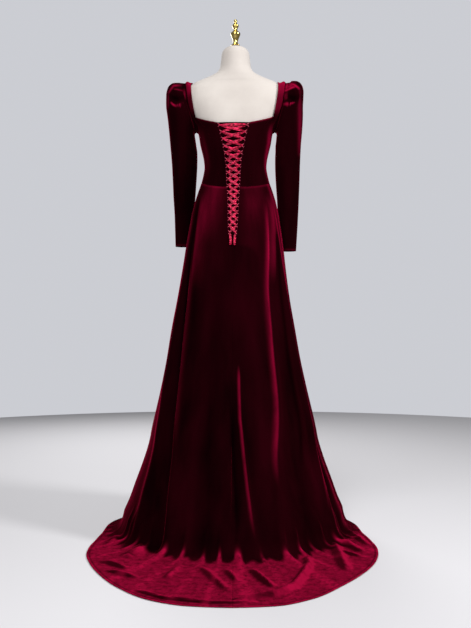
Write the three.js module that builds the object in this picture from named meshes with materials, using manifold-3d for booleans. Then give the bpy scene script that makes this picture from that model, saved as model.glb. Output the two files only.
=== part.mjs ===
// A floor-length A-line evening dress in velvet with a court train, a square neck, long sleeves
// with puffed heads and a laced corset back, worn by a limbless dress form on a pole stand.
// Millimetres, +Z up. The front of the dress faces -Y and the train lies towards +Y. The origin
// is the centre of the stand's underside, on the floor.
// A turn is an angle round the body from the centre back, growing towards the wearer's left (+X).

import * as THREE from "three";
import { mergeVertices } from "three/addons/utils/BufferGeometryUtils.js";
import Module from "manifold-3d";

const wasm = await Module();
wasm.setup();

// Driving dimensions
const clothThickness = 2;
const seamGap = 0.3;
const clothOverForm = 4.2; // from the form to the outer face of the cloth
const formSlack = 1.4; // how much further the covered form lies inside the cloth
const shoulderSlack = 5.6; // and more of it under the shoulder seams
const panelUnderCloth = 3; // from the outer face of the cloth to the modesty panel
const panelThickness = 1.1;
const formBottom = 1012;
const formTop = 1811;
const waistAtSide = 1290;
const waistDrop = 27; // how much lower the waist seam is at the centre back and front
const floorCurveStart = 64; // height where the skirt starts to turn onto the floor
const poleRadius = 13;
const baseRadius = 165;
const baseThickness = 12;
const laceTurns = 16;
const lacePitch = 25;
const laceTop = 1497;
const laceCentre = 7; // how far the lacing's middle lies on the wearer's left
const neckShift = 3.5; // the same for the corners of the neckline
const skirtSway = 10; // and for the skirt where it nears the floor

const deg = Math.PI / 180;
const clamp = (v, low, high) => Math.min(high, Math.max(low, v));
const mix = (a, b, t) => a + (b - a) * t;
const smooth = (t) => {
  const c = clamp(t, 0, 1);
  return c * c * (3 - 2 * c);
};
const bell = (v) => Math.exp(-v * v);
const power = (v, e) => Math.sign(v) * Math.abs(v) ** e;

// One row for each height of the form: half its width, its depth behind and before the pole's
// line, and how square the section is (1 is an ellipse, less is squarer).
const formRows = [
  { height: 1012, half: 146, back: 92, front: 86, round: 1 },
  { height: 1050, half: 158, back: 105, front: 96, round: 1 },
  { height: 1100, half: 162, back: 112, front: 101, round: 1 },
  { height: 1150, half: 160, back: 112, front: 101, round: 1 },
  { height: 1190, half: 154.5, back: 108, front: 99, round: 1 },
  { height: 1230, half: 144, back: 100, front: 96, round: 0.97 },
  { height: 1260, half: 135.5, back: 93, front: 93, round: 0.95 },
  { height: 1290, half: 125, back: 87, front: 90, round: 0.93 },
  { height: 1321, half: 117, back: 82, front: 87, round: 0.92 },
  { height: 1351, half: 112.6, back: 80, front: 86, round: 0.92 },
  { height: 1381, half: 115.5, back: 82, front: 88, round: 0.9 },
  { height: 1411, half: 122, back: 86, front: 92, round: 0.88 },
  { height: 1441, half: 129, back: 90, front: 96, round: 0.86 },
  { height: 1472, half: 134, back: 94, front: 95, round: 0.84 },
  { height: 1500, half: 143, back: 95, front: 90, round: 0.82 },
  { height: 1530, half: 158, back: 93, front: 82, round: 0.8 },
  { height: 1560, half: 172, back: 89, front: 75, round: 0.8 },
  { height: 1600, half: 186, back: 80, front: 66, round: 0.82 },
  { height: 1625, half: 190, back: 73, front: 60, round: 0.86 },
  { height: 1645, half: 190, back: 67, front: 56, round: 0.9 },
  { height: 1656, half: 182, back: 64, front: 54, round: 0.94 },
  { height: 1665, half: 168, back: 62, front: 52, round: 0.97 },
  { height: 1675, half: 146, back: 60, front: 51, round: 1 },
  { height: 1686, half: 118, back: 58, front: 50, round: 1 },
  { height: 1697, half: 92, back: 57, front: 50, round: 1 },
  { height: 1710, half: 70, back: 56, front: 50, round: 1 },
  { height: 1728, half: 59, back: 54, front: 49, round: 1 },
  { height: 1755, half: 55, back: 52, front: 48, round: 1 },
  { height: 1780, half: 52, back: 49, front: 46, round: 1 },
  { height: 1794, half: 45, back: 43, front: 41, round: 1 },
  { height: 1804, half: 32, back: 30, front: 29, round: 1 },
  { height: 1811, half: 8, back: 8, front: 8, round: 1 },
];
const bust = { turn: 144, height: 1446, reach: 24, spread: 30, tall: 44 };

// The outer face of the skirt, from the hips down to where it turns onto the floor.
const skirtRows = [
  { height: 0, half: 424, back: 447, front: 300 },
  { height: 64, half: 408, back: 424, front: 288 },
  { height: 110, half: 388, back: 404, front: 277 },
  { height: 174, half: 365, back: 379, front: 261 },
  { height: 264, half: 332, back: 346, front: 239 },
  { height: 324, half: 314, back: 325, front: 226 },
  { height: 385, half: 302, back: 304, front: 214 },
  { height: 445, half: 288, back: 284, front: 202 },
  { height: 506, half: 274, back: 265, front: 191 },
  { height: 566, half: 261.5, back: 248, front: 181 },
  { height: 626, half: 250, back: 231, front: 171 },
  { height: 747, half: 231, back: 201, front: 153 },
  { height: 868, half: 210, back: 173, front: 137 },
  { height: 989, half: 192, back: 147, front: 122 },
  { height: 1049, half: 184, back: 136, front: 116 },
  { height: 1110, half: 174.5, back: 126, front: 111 },
  { height: 1140, half: 169.5, back: 121, front: 108 },
  { height: 1170, half: 164.5, back: 116, front: 106 },
  { height: 1200, half: 157.5, back: 111, front: 103 },
  { height: 1230, half: 150, back: 105, front: 100 },
  { height: 1260, half: 140.5, back: 98, front: 97 },
  { height: 1290, half: 129.2, back: 91.2, front: 94.2 },
];

// How far the hem lies from the pole on the floor, on the wearer's left and right.
const hemRows = [
  { turn: 0, left: 893, right: 893 },
  { turn: 8, left: 890, right: 887 },
  { turn: 15, left: 869, right: 853 },
  { turn: 25, left: 801, right: 772 },
  { turn: 34, left: 734, right: 712 },
  { turn: 43, left: 676, right: 660 },
  { turn: 51, left: 631, right: 614 },
  { turn: 58, left: 587, right: 574 },
  { turn: 68, left: 530, right: 516 },
  { turn: 80, left: 492, right: 470 },
  { turn: 95, left: 478, right: 452 },
  { turn: 115, left: 436, right: 420 },
  { turn: 140, left: 372, right: 364 },
  { turn: 180, left: 330, right: 330 },
];

// The long folds of the skirt: the turn of each at its top and at the floor, the height where it
// begins, how far it stands out (or in) at the floor, and half its width there.
const skirtSideTurn = 90;
const skirtFolds = [
  { top: -4, floor: -10, from: 660, out: 17, wide: 20 },
  { top: 3, floor: -1, from: 640, out: -11, wide: 16 },
  { top: -44, floor: -22, from: 1190, out: 11, wide: 26 },
  { top: -54, floor: -36, from: 900, out: -8, wide: 34 },
  { top: -66, floor: -55, from: 1150, out: 14, wide: 26 },
  { top: -76, floor: -70, from: 1060, out: -18, wide: 28 },
  { top: -103, floor: -99, from: 1060, out: 16, wide: 34 },
  { top: -128, floor: -126, from: 1000, out: 15, wide: 34 },
  { top: -160, floor: -158, from: 960, out: 13, wide: 32 },
  { top: 172, floor: 174, from: 980, out: 14, wide: 34 },
  { top: 140, floor: 138, from: 1020, out: 15, wide: 34 },
  { top: 108, floor: 104, from: 1040, out: 14, wide: 34 },
  { top: 72, floor: 56, from: 1130, out: 13, wide: 34 },
  { top: 59, floor: 41, from: 1160, out: -24, wide: 28 },
  { top: 47, floor: 27, from: 1130, out: 12, wide: 34 },
  { top: 24, floor: 17, from: 500, out: -7, wide: 30 },
];

// Short radial ripples where the velvet drags onto the floor behind the wearer.
const ripple = { count: 15, from: -78, to: 78, height: 150, out: 7, run: 130 };

// Broad soft ridges of the train on the floor: where each starts and ends, how high and wide.
const trainRidges = [
  { fromX: -232, fromY: 468, toX: -58, toY: 742, high: 17, wide: 26 },
  { fromX: -80, fromY: 500, toX: -140, toY: 640, high: 12, wide: 24 },
  { fromX: -330, fromY: 420, toX: -395, toY: 590, high: 13, wide: 26 },
  { fromX: 66, fromY: 520, toX: 20, toY: 690, high: 10, wide: 26 },
  { fromX: 330, fromY: 380, toX: 440, toY: 470, high: 9, wide: 26 },
  { fromX: 214, fromY: 480, toX: 262, toY: 600, high: 9, wide: 24 },
];

// The seams of the bodice as seen from behind or before: distance from the middle at each height.
const backPrincess = [
  { height: 1262, x: 62 },
  { height: 1351, x: 62 },
  { height: 1440, x: 84 },
  { height: 1500, x: 118 },
  { height: 1531, x: 145 },
];
const backStrapEdge = [
  { height: 1531, x: 145 },
  { height: 1560, x: 152 },
  { height: 1600, x: 159 },
  { height: 1630, x: 163 },
  { height: 1652, x: 164.5 },
  { height: 1669, x: 163 },
];
const backArmhole = [
  { height: 1478, x: 140.2 },
  { height: 1483, x: 137.9 },
  { height: 1494, x: 139 },
  { height: 1520, x: 151.5 },
  { height: 1550, x: 165 },
  { height: 1585, x: 175.5 },
  { height: 1618, x: 181 },
  { height: 1640, x: 185 },
  { height: 1654, x: 190 },
];
const frontPrincess = [
  { height: 1268, x: 58 },
  { height: 1351, x: 60 },
  { height: 1446, x: 88 },
  { height: 1490, x: 112 },
  { height: 1512, x: 126 },
];
const frontStrapEdge = [
  { height: 1512, x: 126 },
  { height: 1550, x: 140 },
  { height: 1595, x: 155 },
  { height: 1630, x: 163 },
  { height: 1652, x: 166 },
  { height: 1669, x: 163 },
];
const frontArmhole = [
  { height: 1478, x: 140.2 },
  { height: 1483, x: 137 },
  { height: 1494, x: 136 },
  { height: 1520, x: 145 },
  { height: 1550, x: 158 },
  { height: 1585, x: 170 },
  { height: 1618, x: 178 },
  { height: 1640, x: 184 },
  { height: 1654, x: 190 },
];
const neckAtBack = { middle: 1504, corner: 1531 };
const neckAtFront = { middle: 1500, corner: 1512 };

// Half the distance across the lacing, between the tips of its turns, at each height.
const laceRows = [
  { height: 1036, reach: 5 },
  { height: 1068, reach: 9 },
  { height: 1105, reach: 12.5 },
  { height: 1142, reach: 14.5 },
  { height: 1179, reach: 15.8 },
  { height: 1216, reach: 17.6 },
  { height: 1253, reach: 19.4 },
  { height: 1291, reach: 20.8 },
  { height: 1324, reach: 22 },
  { height: 1364, reach: 25 },
  { height: 1386, reach: 28 },
  { height: 1412, reach: 32 },
  { height: 1437, reach: 37 },
  { height: 1463, reach: 43.5 },
  { height: 1504, reach: 53 },
];
const openingEnd = 1034;
const edgeBeyondLace = 6.4; // from a turn of the lace to the velvet edge beside it
const ribbon = { wide: 13, narrow: 4, thickness: 1, over: 2.1, under: -0.9 };
const loop = { wire: 0.65, bight: 2.9, foot: 5.2, inset: 0.9 };
const tape = { wide: 3, low: -1.9, high: 0.1 };

// The sleeves, a row for each ring: its upper outer point and its lower inner point as seen from
// behind, half its depth front to back, and how far its middle lies behind (+) the pole's line.
const leftSleeveRows = [
  { outX: 205, outZ: 1668, inX: 148, inZ: 1483.5, depth: 40, lean: -1, round: 0.9 },
  { outX: 215, outZ: 1673.5, inX: 149.5, inZ: 1484.2, depth: 50, lean: -2, round: 0.84 },
  { outX: 236, outZ: 1671, inX: 152.2, inZ: 1481, depth: 56, lean: -2, round: 0.76 },
  { outX: 252, outZ: 1659, inX: 152.6, inZ: 1474.5, depth: 56, lean: -2, round: 0.76 },
  { outX: 261, outZ: 1637, inX: 151.5, inZ: 1466.5, depth: 55, lean: -2, round: 0.78 },
  { outX: 263, outZ: 1607, inX: 150, inZ: 1457, depth: 53, lean: -2, round: 0.82 },
  { outX: 262.5, outZ: 1577, inX: 148.2, inZ: 1446, depth: 51, lean: -2, round: 0.88 },
  { outX: 258, outZ: 1543, inX: 146.4, inZ: 1432, depth: 50, lean: -3, round: 0.92 },
  { outX: 252.5, outZ: 1493, inX: 143.5, inZ: 1414, depth: 48, lean: -4, round: 0.95 },
  { outX: 247, outZ: 1430, inX: 143, inZ: 1388, depth: 46, lean: -7, round: 0.97 },
  { outX: 242, outZ: 1366, inX: 144, inZ: 1350, depth: 43, lean: -12, round: 1 },
  { outX: 239.5, outZ: 1305, inX: 147.5, inZ: 1301, depth: 40, lean: -21, round: 1 },
  { outX: 238, outZ: 1243, inX: 152.5, inZ: 1243, depth: 38, lean: -36, round: 1 },
  { outX: 235.5, outZ: 1184, inX: 159, inZ: 1184, depth: 35, lean: -52, round: 1 },
  { outX: 234.5, outZ: 1122, inX: 164, inZ: 1122, depth: 32, lean: -65, round: 1 },
  { outX: 233.5, outZ: 1060, inX: 169, inZ: 1060, depth: 30, lean: -76, round: 1 },
];
const rightSleeveRows = [
  { outX: 204, outZ: 1669, inX: 148, inZ: 1483.5, depth: 40, lean: -1, round: 0.9 },
  { outX: 213, outZ: 1679, inX: 150, inZ: 1484.2, depth: 50, lean: -2, round: 0.84 },
  { outX: 233, outZ: 1677, inX: 153.3, inZ: 1481, depth: 56, lean: -2, round: 0.78 },
  { outX: 249, outZ: 1665, inX: 154.2, inZ: 1474.5, depth: 56, lean: -2, round: 0.76 },
  { outX: 257, outZ: 1643, inX: 153.1, inZ: 1466.5, depth: 55, lean: -2, round: 0.78 },
  { outX: 257, outZ: 1612, inX: 152.5, inZ: 1457, depth: 53, lean: -2, round: 0.82 },
  { outX: 255.5, outZ: 1582, inX: 151.2, inZ: 1446, depth: 51, lean: -2, round: 0.88 },
  { outX: 255.5, outZ: 1546, inX: 149.8, inZ: 1432, depth: 50, lean: -3, round: 0.92 },
  { outX: 253, outZ: 1495, inX: 149.5, inZ: 1412, depth: 48, lean: -4, round: 0.95 },
  { outX: 248, outZ: 1432, inX: 148.5, inZ: 1385, depth: 46, lean: -7, round: 0.97 },
  { outX: 245, outZ: 1362, inX: 149, inZ: 1345, depth: 43, lean: -12, round: 1 },
  { outX: 243.5, outZ: 1298, inX: 152, inZ: 1292, depth: 40, lean: -21, round: 1 },
  { outX: 242, outZ: 1232, inX: 157, inZ: 1230, depth: 38, lean: -36, round: 1 },
  { outX: 240, outZ: 1170, inX: 161, inZ: 1168, depth: 35, lean: -50, round: 1 },
  { outX: 237, outZ: 1106, inX: 165, inZ: 1105, depth: 32, lean: -60, round: 1 },
  { outX: 233.5, outZ: 1042, inX: 169, inZ: 1042, depth: 30, lean: -68, round: 1 },
];
// The tuck across the back and front of each puffed head, under the pad.
const headTuck = { x: 216, height: 1593, sag: 11, half: 27, deep: 7, tall: 11 };

const velvet = new THREE.Color(0.2, 0.006, 0.03);
const cloth = (name) =>
  new THREE.MeshStandardMaterial({ name, color: velvet, roughness: 0.6, metalness: 0 });
const satin = new THREE.MeshStandardMaterial({ color: 0xc4123f, roughness: 0.35, metalness: 0 });
const loopCord = new THREE.MeshStandardMaterial({ color: 0x6a0a20, roughness: 0.6, metalness: 0 });
const linen = new THREE.MeshStandardMaterial({ color: 0xe6dcd4, roughness: 0.9, metalness: 0 });
const brass = new THREE.MeshStandardMaterial({ color: 0xc9a227, roughness: 0.2, metalness: 1 });
const steel = new THREE.MeshStandardMaterial({ color: 0x8a8a8c, roughness: 0.35, metalness: 1 });

// A smooth curve through the rows of a table, with no overshoot between them.
function along(rows, by, key, at) {
  const last = rows.length - 1;
  const v = clamp(at, rows[0][by], rows[last][by]);
  let i = 0;
  while (i < last - 1 && v > rows[i + 1][by]) i += 1;
  const step = (k) => (rows[k + 1][key] - rows[k][key]) / (rows[k + 1][by] - rows[k][by]);
  const slope = (k) => {
    if (k === 0) return step(0);
    if (k === last) return step(last - 1);
    const before = step(k - 1);
    const after = step(k);
    return before * after <= 0 ? 0 : (2 * before * after) / (before + after);
  };
  const long = rows[i + 1][by] - rows[i][by];
  const t = (v - rows[i][by]) / long;
  const t2 = t * t;
  const t3 = t2 * t;
  return (
    (2 * t3 - 3 * t2 + 1) * rows[i][key] +
    (t3 - 2 * t2 + t) * long * slope(i) +
    (-2 * t3 + 3 * t2) * rows[i + 1][key] +
    (t3 - t2) * long * slope(i + 1)
  );
}

const wrapped = (turn) => ((((turn + 180) % 360) + 360) % 360) - 180;

// The form's surface at a turn and a height.
function formAt(turn, height) {
  const s = Math.sin(turn * deg);
  const c = Math.cos(turn * deg);
  const half = along(formRows, "height", "half", height);
  const deep = along(formRows, "height", c > 0 ? "back" : "front", height);
  const e = along(formRows, "height", "round", height);
  const away = (Math.abs(wrapped(turn)) - bust.turn) / bust.spread;
  const cup = bust.reach * bell(away) * bell((height - bust.height) / bust.tall);
  const x = power(s, e) * half + s * cup * 0.35;
  const y = power(c, e) * deep + c * cup;
  return new THREE.Vector3(x, y, height);
}

// The outward normal of a surface of two values, found by small steps.
function normalOf(surface, u, v, stepU, stepV) {
  const du = surface(u + stepU, v).sub(surface(u - stepU, v));
  const dv = surface(u, v + stepV).sub(surface(u, v - stepV));
  return dv.cross(du).normalize();
}

const formNormal = (turn, height) => normalOf(formAt, turn, height, 0.5, 1.5);

function bodiceAt(turn, height) {
  return formAt(turn, height).addScaledVector(formNormal(turn, height), clothOverForm);
}

const waistAt = (turn) => waistAtSide - waistDrop * Math.abs(Math.cos(turn * deg)) ** 1.5;

// All the long folds together, as a distance out from the plain skirt.
function foldsAt(turn, height) {
  const half = along(skirtRows, "height", "half", height);
  let out = 0;
  for (const fold of skirtFolds) {
    const grown = clamp((fold.from - height) / fold.from, 0, 1);
    const middle = mix(fold.top, fold.floor, grown);
    const aside = wrapped(turn - middle) * deg * half;
    out += fold.out * smooth(grown * 1.6) * bell(aside / fold.wide);
  }
  return out;
}

function rippleAt(turn, strength) {
  const inside = (wrapped(turn) - ripple.from) / (ripple.to - ripple.from);
  if (inside <= 0 || inside >= 1) return 0;
  const fade = smooth(inside * 8) * smooth((1 - inside) * 8);
  return ripple.out * strength * fade * Math.cos(inside * ripple.count * 2 * Math.PI);
}

// The plain outer face of the skirt at a height over the floor, with its folds.
function skirtAt(turn, height) {
  const s = Math.sin(turn * deg);
  const c = Math.cos(turn * deg);
  const half = along(skirtRows, "height", "half", height);
  const deep = along(skirtRows, "height", c > 0 ? "back" : "front", height);
  const sway = skirtSway * smooth((waistAtSide - height) / 650);
  const plain = new THREE.Vector3(s * half + sway, c * deep, height);
  const out = foldsAt(turn, height) + rippleAt(turn, smooth(1 - height / ripple.height));
  plain.addScaledVector(new THREE.Vector3(s * deep, c * half, 0).normalize(), out);
  const below = smooth((waistAt(turn) - height) / 70);
  return below >= 1 ? plain : bodiceAt(turn, height).lerp(plain, below);
}

// How high the train's ridges lift the cloth off the floor.
function ridgesAt(x, y) {
  let high = 0;
  for (const ridge of trainRidges) {
    const run = new THREE.Vector2(ridge.toX - ridge.fromX, ridge.toY - ridge.fromY);
    const here = new THREE.Vector2(x - ridge.fromX, y - ridge.fromY);
    const t = here.dot(run) / run.lengthSq();
    const aside = here.cross(run) / run.length();
    high += ridge.high * bell(aside / ridge.wide) * bell((t - 0.5) / 0.48);
  }
  return high;
}

// The whole skirt: 0 to 1 down from the waist seam to the floor curve, 1 to 2 out to the hem.
const flatHeight = clothThickness;
function skirtSurface(turn, run) {
  if (run <= 1) {
    const top = waistAt(turn) - seamGap / 2;
    return skirtAt(turn, mix(top, floorCurveStart, run));
  }
  const start = skirtAt(turn, floorCurveStart);
  const half = along(skirtRows, "height", "half", floorCurveStart);
  const s = Math.sin(turn * deg);
  const c = Math.cos(turn * deg);
  const deep = along(skirtRows, "height", c > 0 ? "back" : "front", floorCurveStart);
  const away = new THREE.Vector3(s * half, c * deep, 0).normalize();
  const startOut = start.dot(away);
  const side = wrapped(turn) >= 0 ? "left" : "right";
  const bearing = Math.abs(Math.atan2(away.x, away.y)) / deg;
  const hem = along(hemRows, "turn", side, bearing);
  const t = run - 1;
  const out = mix(startOut, hem, 0.35 * t + 0.65 * t * t);
  const aside = start.clone().setZ(0).addScaledVector(away, -startOut);
  const fall = Math.exp(-(out - startOut) / 21);
  const dragged = rippleAt(turn, 0.8 * bell((out - startOut) / ripple.run) * (1 - fall));
  const p = away.clone().multiplyScalar(out).addScaledVector(aside, 1 - t);
  const settled = smooth((out - startOut) / 60) * smooth((hem - out) / 55);
  const lifted = settled * (ridgesAt(p.x, p.y) + Math.max(0, dragged));
  p.z = flatHeight + (floorCurveStart - flatHeight) * fall * (1 - t) + lifted;
  return p;
}

// The face of the cloth at the back opening, above or below the waist seam, by its distance
// from the lacing's middle. Everything laced over the opening is placed on it.
function backFace(x, height) {
  const half =
    height > waistAtSide
      ? along(formRows, "height", "half", height) + clothOverForm
      : along(skirtRows, "height", "half", height);
  const turn = Math.asin(clamp((x + laceCentre) / half, -1, 1)) / deg;
  const face = (t, h) => (h > waistAt(t) ? bodiceAt(t, h) : skirtAt(t, h));
  const found = face(turn, height);
  return { point: found, normal: normalOf(face, turn, height, 0.5, 1.5), turn };
}

function laid(x, height, over) {
  const { point, normal } = backFace(x, height);
  return point.addScaledVector(normal, over);
}

// A closed wall between two faces of a surface: cols by rows of (u, v) places, the outer face at
// `high` and the inner at `low` from the surface along its normal.
function wall({ place, surface, normal, cols, rows, high, low, closed = false, flatUnder = false }) {
  const positions = [];
  const width = closed ? cols : cols + 1;
  for (const over of [high, low]) {
    for (let j = 0; j <= rows; j += 1) {
      for (let i = 0; i < width; i += 1) {
        const [u, v] = place(i / cols, j / rows, i, j);
        const p = surface(u, v).addScaledVector(normal(u, v), over);
        if (flatUnder) p.z = Math.max(p.z, 0);
        positions.push(p.x, p.y, p.z);
      }
    }
  }
  const layer = width * (rows + 1);
  const at = (side, i, j) => side * layer + j * width + (closed ? i % cols : i);
  const index = [];
  const quad = (a, b, c, d) => index.push(a, b, c, a, c, d);
  for (let j = 0; j < rows; j += 1) {
    for (let i = 0; i < cols; i += 1) {
      quad(at(0, i, j), at(0, i + 1, j), at(0, i + 1, j + 1), at(0, i, j + 1));
      quad(at(1, i, j), at(1, i, j + 1), at(1, i + 1, j + 1), at(1, i + 1, j));
    }
  }
  for (let i = 0; i < cols; i += 1) {
    quad(at(0, i, 0), at(1, i, 0), at(1, i + 1, 0), at(0, i + 1, 0));
    quad(at(0, i + 1, rows), at(1, i + 1, rows), at(1, i, rows), at(0, i, rows));
  }
  for (let j = 0; j < rows && !closed; j += 1) {
    quad(at(0, 0, j + 1), at(1, 0, j + 1), at(1, 0, j), at(0, 0, j));
    quad(at(0, cols, j), at(1, cols, j), at(1, cols, j + 1), at(0, cols, j + 1));
  }
  return facingOut(positions, index);
}

function facingOut(positions, index) {
  const geometry = new THREE.BufferGeometry();
  geometry.setAttribute("position", new THREE.Float32BufferAttribute(positions, 3));
  const corner = (k) => new THREE.Vector3().fromArray(positions, 3 * index[k]);
  let volume = 0;
  for (let k = 0; k < index.length; k += 3) {
    volume += corner(k).dot(corner(k + 1).cross(corner(k + 2)));
  }
  if (volume < 0) {
    for (let k = 0; k < index.length; k += 3) {
      [index[k + 1], index[k + 2]] = [index[k + 2], index[k + 1]];
    }
  }
  geometry.setIndex(index);
  geometry.computeVertexNormals();
  return geometry;
}

// A closed bar through a list of rings, each an array of as many points.
function bar(rings) {
  const around = rings[0].length;
  const positions = rings.flat().flatMap((p) => [p.x, p.y, p.z]);
  const index = [];
  for (let k = 0; k + 1 < rings.length; k += 1) {
    for (let i = 0; i < around; i += 1) {
      const next = (i + 1) % around;
      const a = k * around + i;
      const b = k * around + next;
      index.push(a, b, b + around, a, b + around, a + around);
    }
  }
  const last = (rings.length - 1) * around;
  for (let i = 1; i + 1 < around; i += 1) {
    index.push(0, i + 1, i);
    index.push(last, last + i, last + i + 1);
  }
  return facingOut(positions, index);
}

function solidOf(geometry) {
  const bare = geometry.clone();
  bare.deleteAttribute("normal");
  bare.deleteAttribute("uv");
  const merged = mergeVertices(bare, 1e-4);
  return new wasm.Manifold(
    new wasm.Mesh({
      numProp: 3,
      vertProperties: merged.attributes.position.array,
      triVerts: new Uint32Array(merged.index.array),
    }),
  );
}

function geometryOf(solid) {
  const mesh = solid.getMesh();
  const geometry = new THREE.BufferGeometry();
  geometry.setAttribute("position", new THREE.BufferAttribute(mesh.vertProperties, 3));
  geometry.setIndex(new THREE.BufferAttribute(mesh.triVerts, 1));
  return geometry;
}

const dress = new THREE.Group();
function add(name, geometry, material) {
  const mesh = new THREE.Mesh(geometry, material);
  mesh.name = name;
  dress.add(mesh);
}

// The turn of a place given by its distance from the middle, behind or before.
function turnOf(x, height, side, behind) {
  const half = along(formRows, "height", "half", height) + clothOverForm;
  const e = along(formRows, "height", "round", height);
  const turn = Math.asin(clamp(x / half, 0, 1) ** (1 / e)) / deg;
  return side * (behind ? turn : 180 - turn);
}

// A place on a seam, t from 0 at its foot to 1 at its top, moved aside by half the seam gap.
function seamPlace(rows, t, side, behind, aside, shift = 0) {
  const height = mix(rows[0].height, rows[rows.length - 1].height, t);
  const x = along(rows, "height", "x", height) + side * shift;
  const turn = turnOf(x, height, side, behind);
  const half = along(formRows, "height", "half", height);
  return [turn + (side * (behind ? aside : -aside)) / (half * deg), height];
}

const halfGap = seamGap / 2;
const strapRows = { seam: 9, edge: 6, underarm: 7, armhole: 8 };
const shoulderTurn = (side, behind) => side * (behind ? 90 - 0.14 : 90 + 0.14);

// The rows beside an armhole end where the sleeve's own first ring has its points.
const ringShare = (n) => (1 - Math.cos((n / strapRows.armhole) * Math.PI)) / 2;

// A side panel of the bodice with its strap: from the waist, past the underarm, to the shoulder.
function sidePanel(side, behind) {
  const princess = behind ? backPrincess : frontPrincess;
  const edge = behind ? backStrapEdge : frontStrapEdge;
  const armhole = behind ? backArmhole : frontArmhole;
  const rows = strapRows.seam + strapRows.edge;
  const shift = behind ? neckShift : 0;
  const inner = (j) =>
    j <= strapRows.seam
      ? seamPlace(princess, j / strapRows.seam, side, behind, halfGap, shift)
      : seamPlace(edge, (j - strapRows.seam) / strapRows.edge, side, behind, halfGap, shift);
  const sideTop = armhole[0].height;
  const outer = (j) =>
    j <= strapRows.underarm
      ? [shoulderTurn(side, behind), mix(waistAtSide, sideTop, j / strapRows.underarm)]
      : seamPlace(armhole, ringShare(j - strapRows.underarm), side, behind, 0);
  const place = (across, up, i, j) => {
    const [turnA, heightA] = inner(j);
    const [turnB, heightB] = outer(j);
    const turn = mix(turnA, turnB, across);
    if (j === 0) return [turn, waistAt(turn) + halfGap];
    if (j === rows) return [shoulderTurn(side, behind), mix(heightA, heightB, across)];
    return [turn, mix(heightA, heightB, across)];
  };
  return bodiceWall(place, 5, rows);
}

function bodiceWall(place, cols, rows) {
  return wall({
    place,
    surface: bodiceAt,
    normal: formNormal,
    cols,
    rows,
    high: 0,
    low: -clothThickness,
  });
}

const openingAt = (height) => along(laceRows, "height", "reach", height) + edgeBeyondLace;

// A centre-back panel, from the laced opening to the princess seam.
function backPanel(side) {
  const rows = strapRows.seam;
  const place = (across, up, i, j) => {
    const [turnB, heightB] = seamPlace(backPrincess, j / rows, side, true, -halfGap, neckShift);
    const heightA = mix(waistAt(0), neckAtBack.middle, j / rows);
    const turnA = backFace(side * openingAt(heightA), heightA).turn;
    const turn = mix(turnA, turnB, across);
    if (j === 0) return [turn, waistAt(turn) + halfGap];
    return [turn, mix(heightA, heightB, across ** 1.6)];
  };
  return bodiceWall(place, 6, rows);
}

// The centre-front panel, between the two front princess seams.
function frontPanel() {
  const rows = strapRows.seam;
  const place = (across, up, i, j) => {
    const side = across < 0.5 ? 1 : -1;
    const [edgeTurn, edgeHeight] = seamPlace(frontPrincess, j / rows, side, false, -halfGap);
    const inward = 1 - Math.abs(across - 0.5) * 2;
    const turn = mix(edgeTurn, side * 180, inward);
    if (j === 0) return [turn, waistAt(turn) + halfGap];
    const middle = mix(waistAt(180), neckAtFront.middle, j / rows);
    return [turn, mix(edgeHeight, middle, smooth(inward))];
  };
  const turned = (a, b, i, j) => {
    const [turn, height] = place(a, b, i, j);
    return [turn < 0 ? turn + 360 : turn, height];
  };
  return bodiceWall(turned, 10, rows);
}

// How far down the skirt each row of its grid lies: two rows close the laced opening.
const openingRun = (height) => (waistAt(0) - height) / (waistAt(0) - floorCurveStart);
const skirtRuns = [
  0, 0.045, 0.09, 0.135, 0.157, openingRun(openingEnd + 16), openingRun(openingEnd), 0.26, 0.34,
  0.42, 0.5, 0.58, 0.67, 0.76, 0.85, 0.93, 1, 1.08, 1.18, 1.3, 1.44, 1.58, 1.72, 1.86, 2,
];

// A panel of the skirt between two seams, each given as its turn on the left at a run.
function skirtPanel(fromSeam, toSeam, cols) {
  const rows = skirtRuns.length - 1;
  const place = (across, down, i, j) => {
    const run = skirtRuns[j];
    return [mix(fromSeam(run), toSeam(run), across), run];
  };
  return wall({
    place,
    surface: skirtSurface,
    normal: skirtNormal,
    cols,
    rows,
    high: 0,
    low: -clothThickness,
    flatUnder: true,
  });
}

function skirtNormal(turn, run) {
  const low = run <= 1 ? clamp(run, 0.004, 0.996) : clamp(run, 1.012, 1.988);
  const n = normalOf(skirtSurface, turn, low, 0.4, 0.004).negate();
  if (run >= 1.9) n.lerp(new THREE.Vector3(0, 0, 1), 0.8).normalize();
  return n;
}

// A side seam, moved aside by half the gap.
function sideSeam(side, aside) {
  return (run) => {
    const turn = side * skirtSideTurn;
    const p = skirtSurface(turn, run);
    return turn + aside / (Math.hypot(p.x, p.y) * deg);
  };
}

// The centre-back edge of the skirt: the opening's edge above, a closed seam below.
function openingSeam(side) {
  return (run) => {
    const p = skirtSurface(0, run);
    const closing = halfGap / (Math.hypot(p.x, p.y) * deg);
    if (run > 1 || p.z < openingEnd + 8) return side * closing;
    return backFace(side * openingAt(p.z), p.z).turn;
  };
}

function addSkirt() {
  for (const [side, word] of [[1, "left"], [-1, "right"]]) {
    const seam = sideSeam(side, -side * halfGap);
    add(`skirt_back_${word}`, skirtPanel(openingSeam(side), seam, 16), cloth("velvet"));
  }
  const right = sideSeam(-1, -halfGap);
  const front = skirtPanel(sideSeam(1, halfGap), (run) => right(run) + 360, 20);
  add("skirt_front", front, cloth("velvet"));
}

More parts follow.
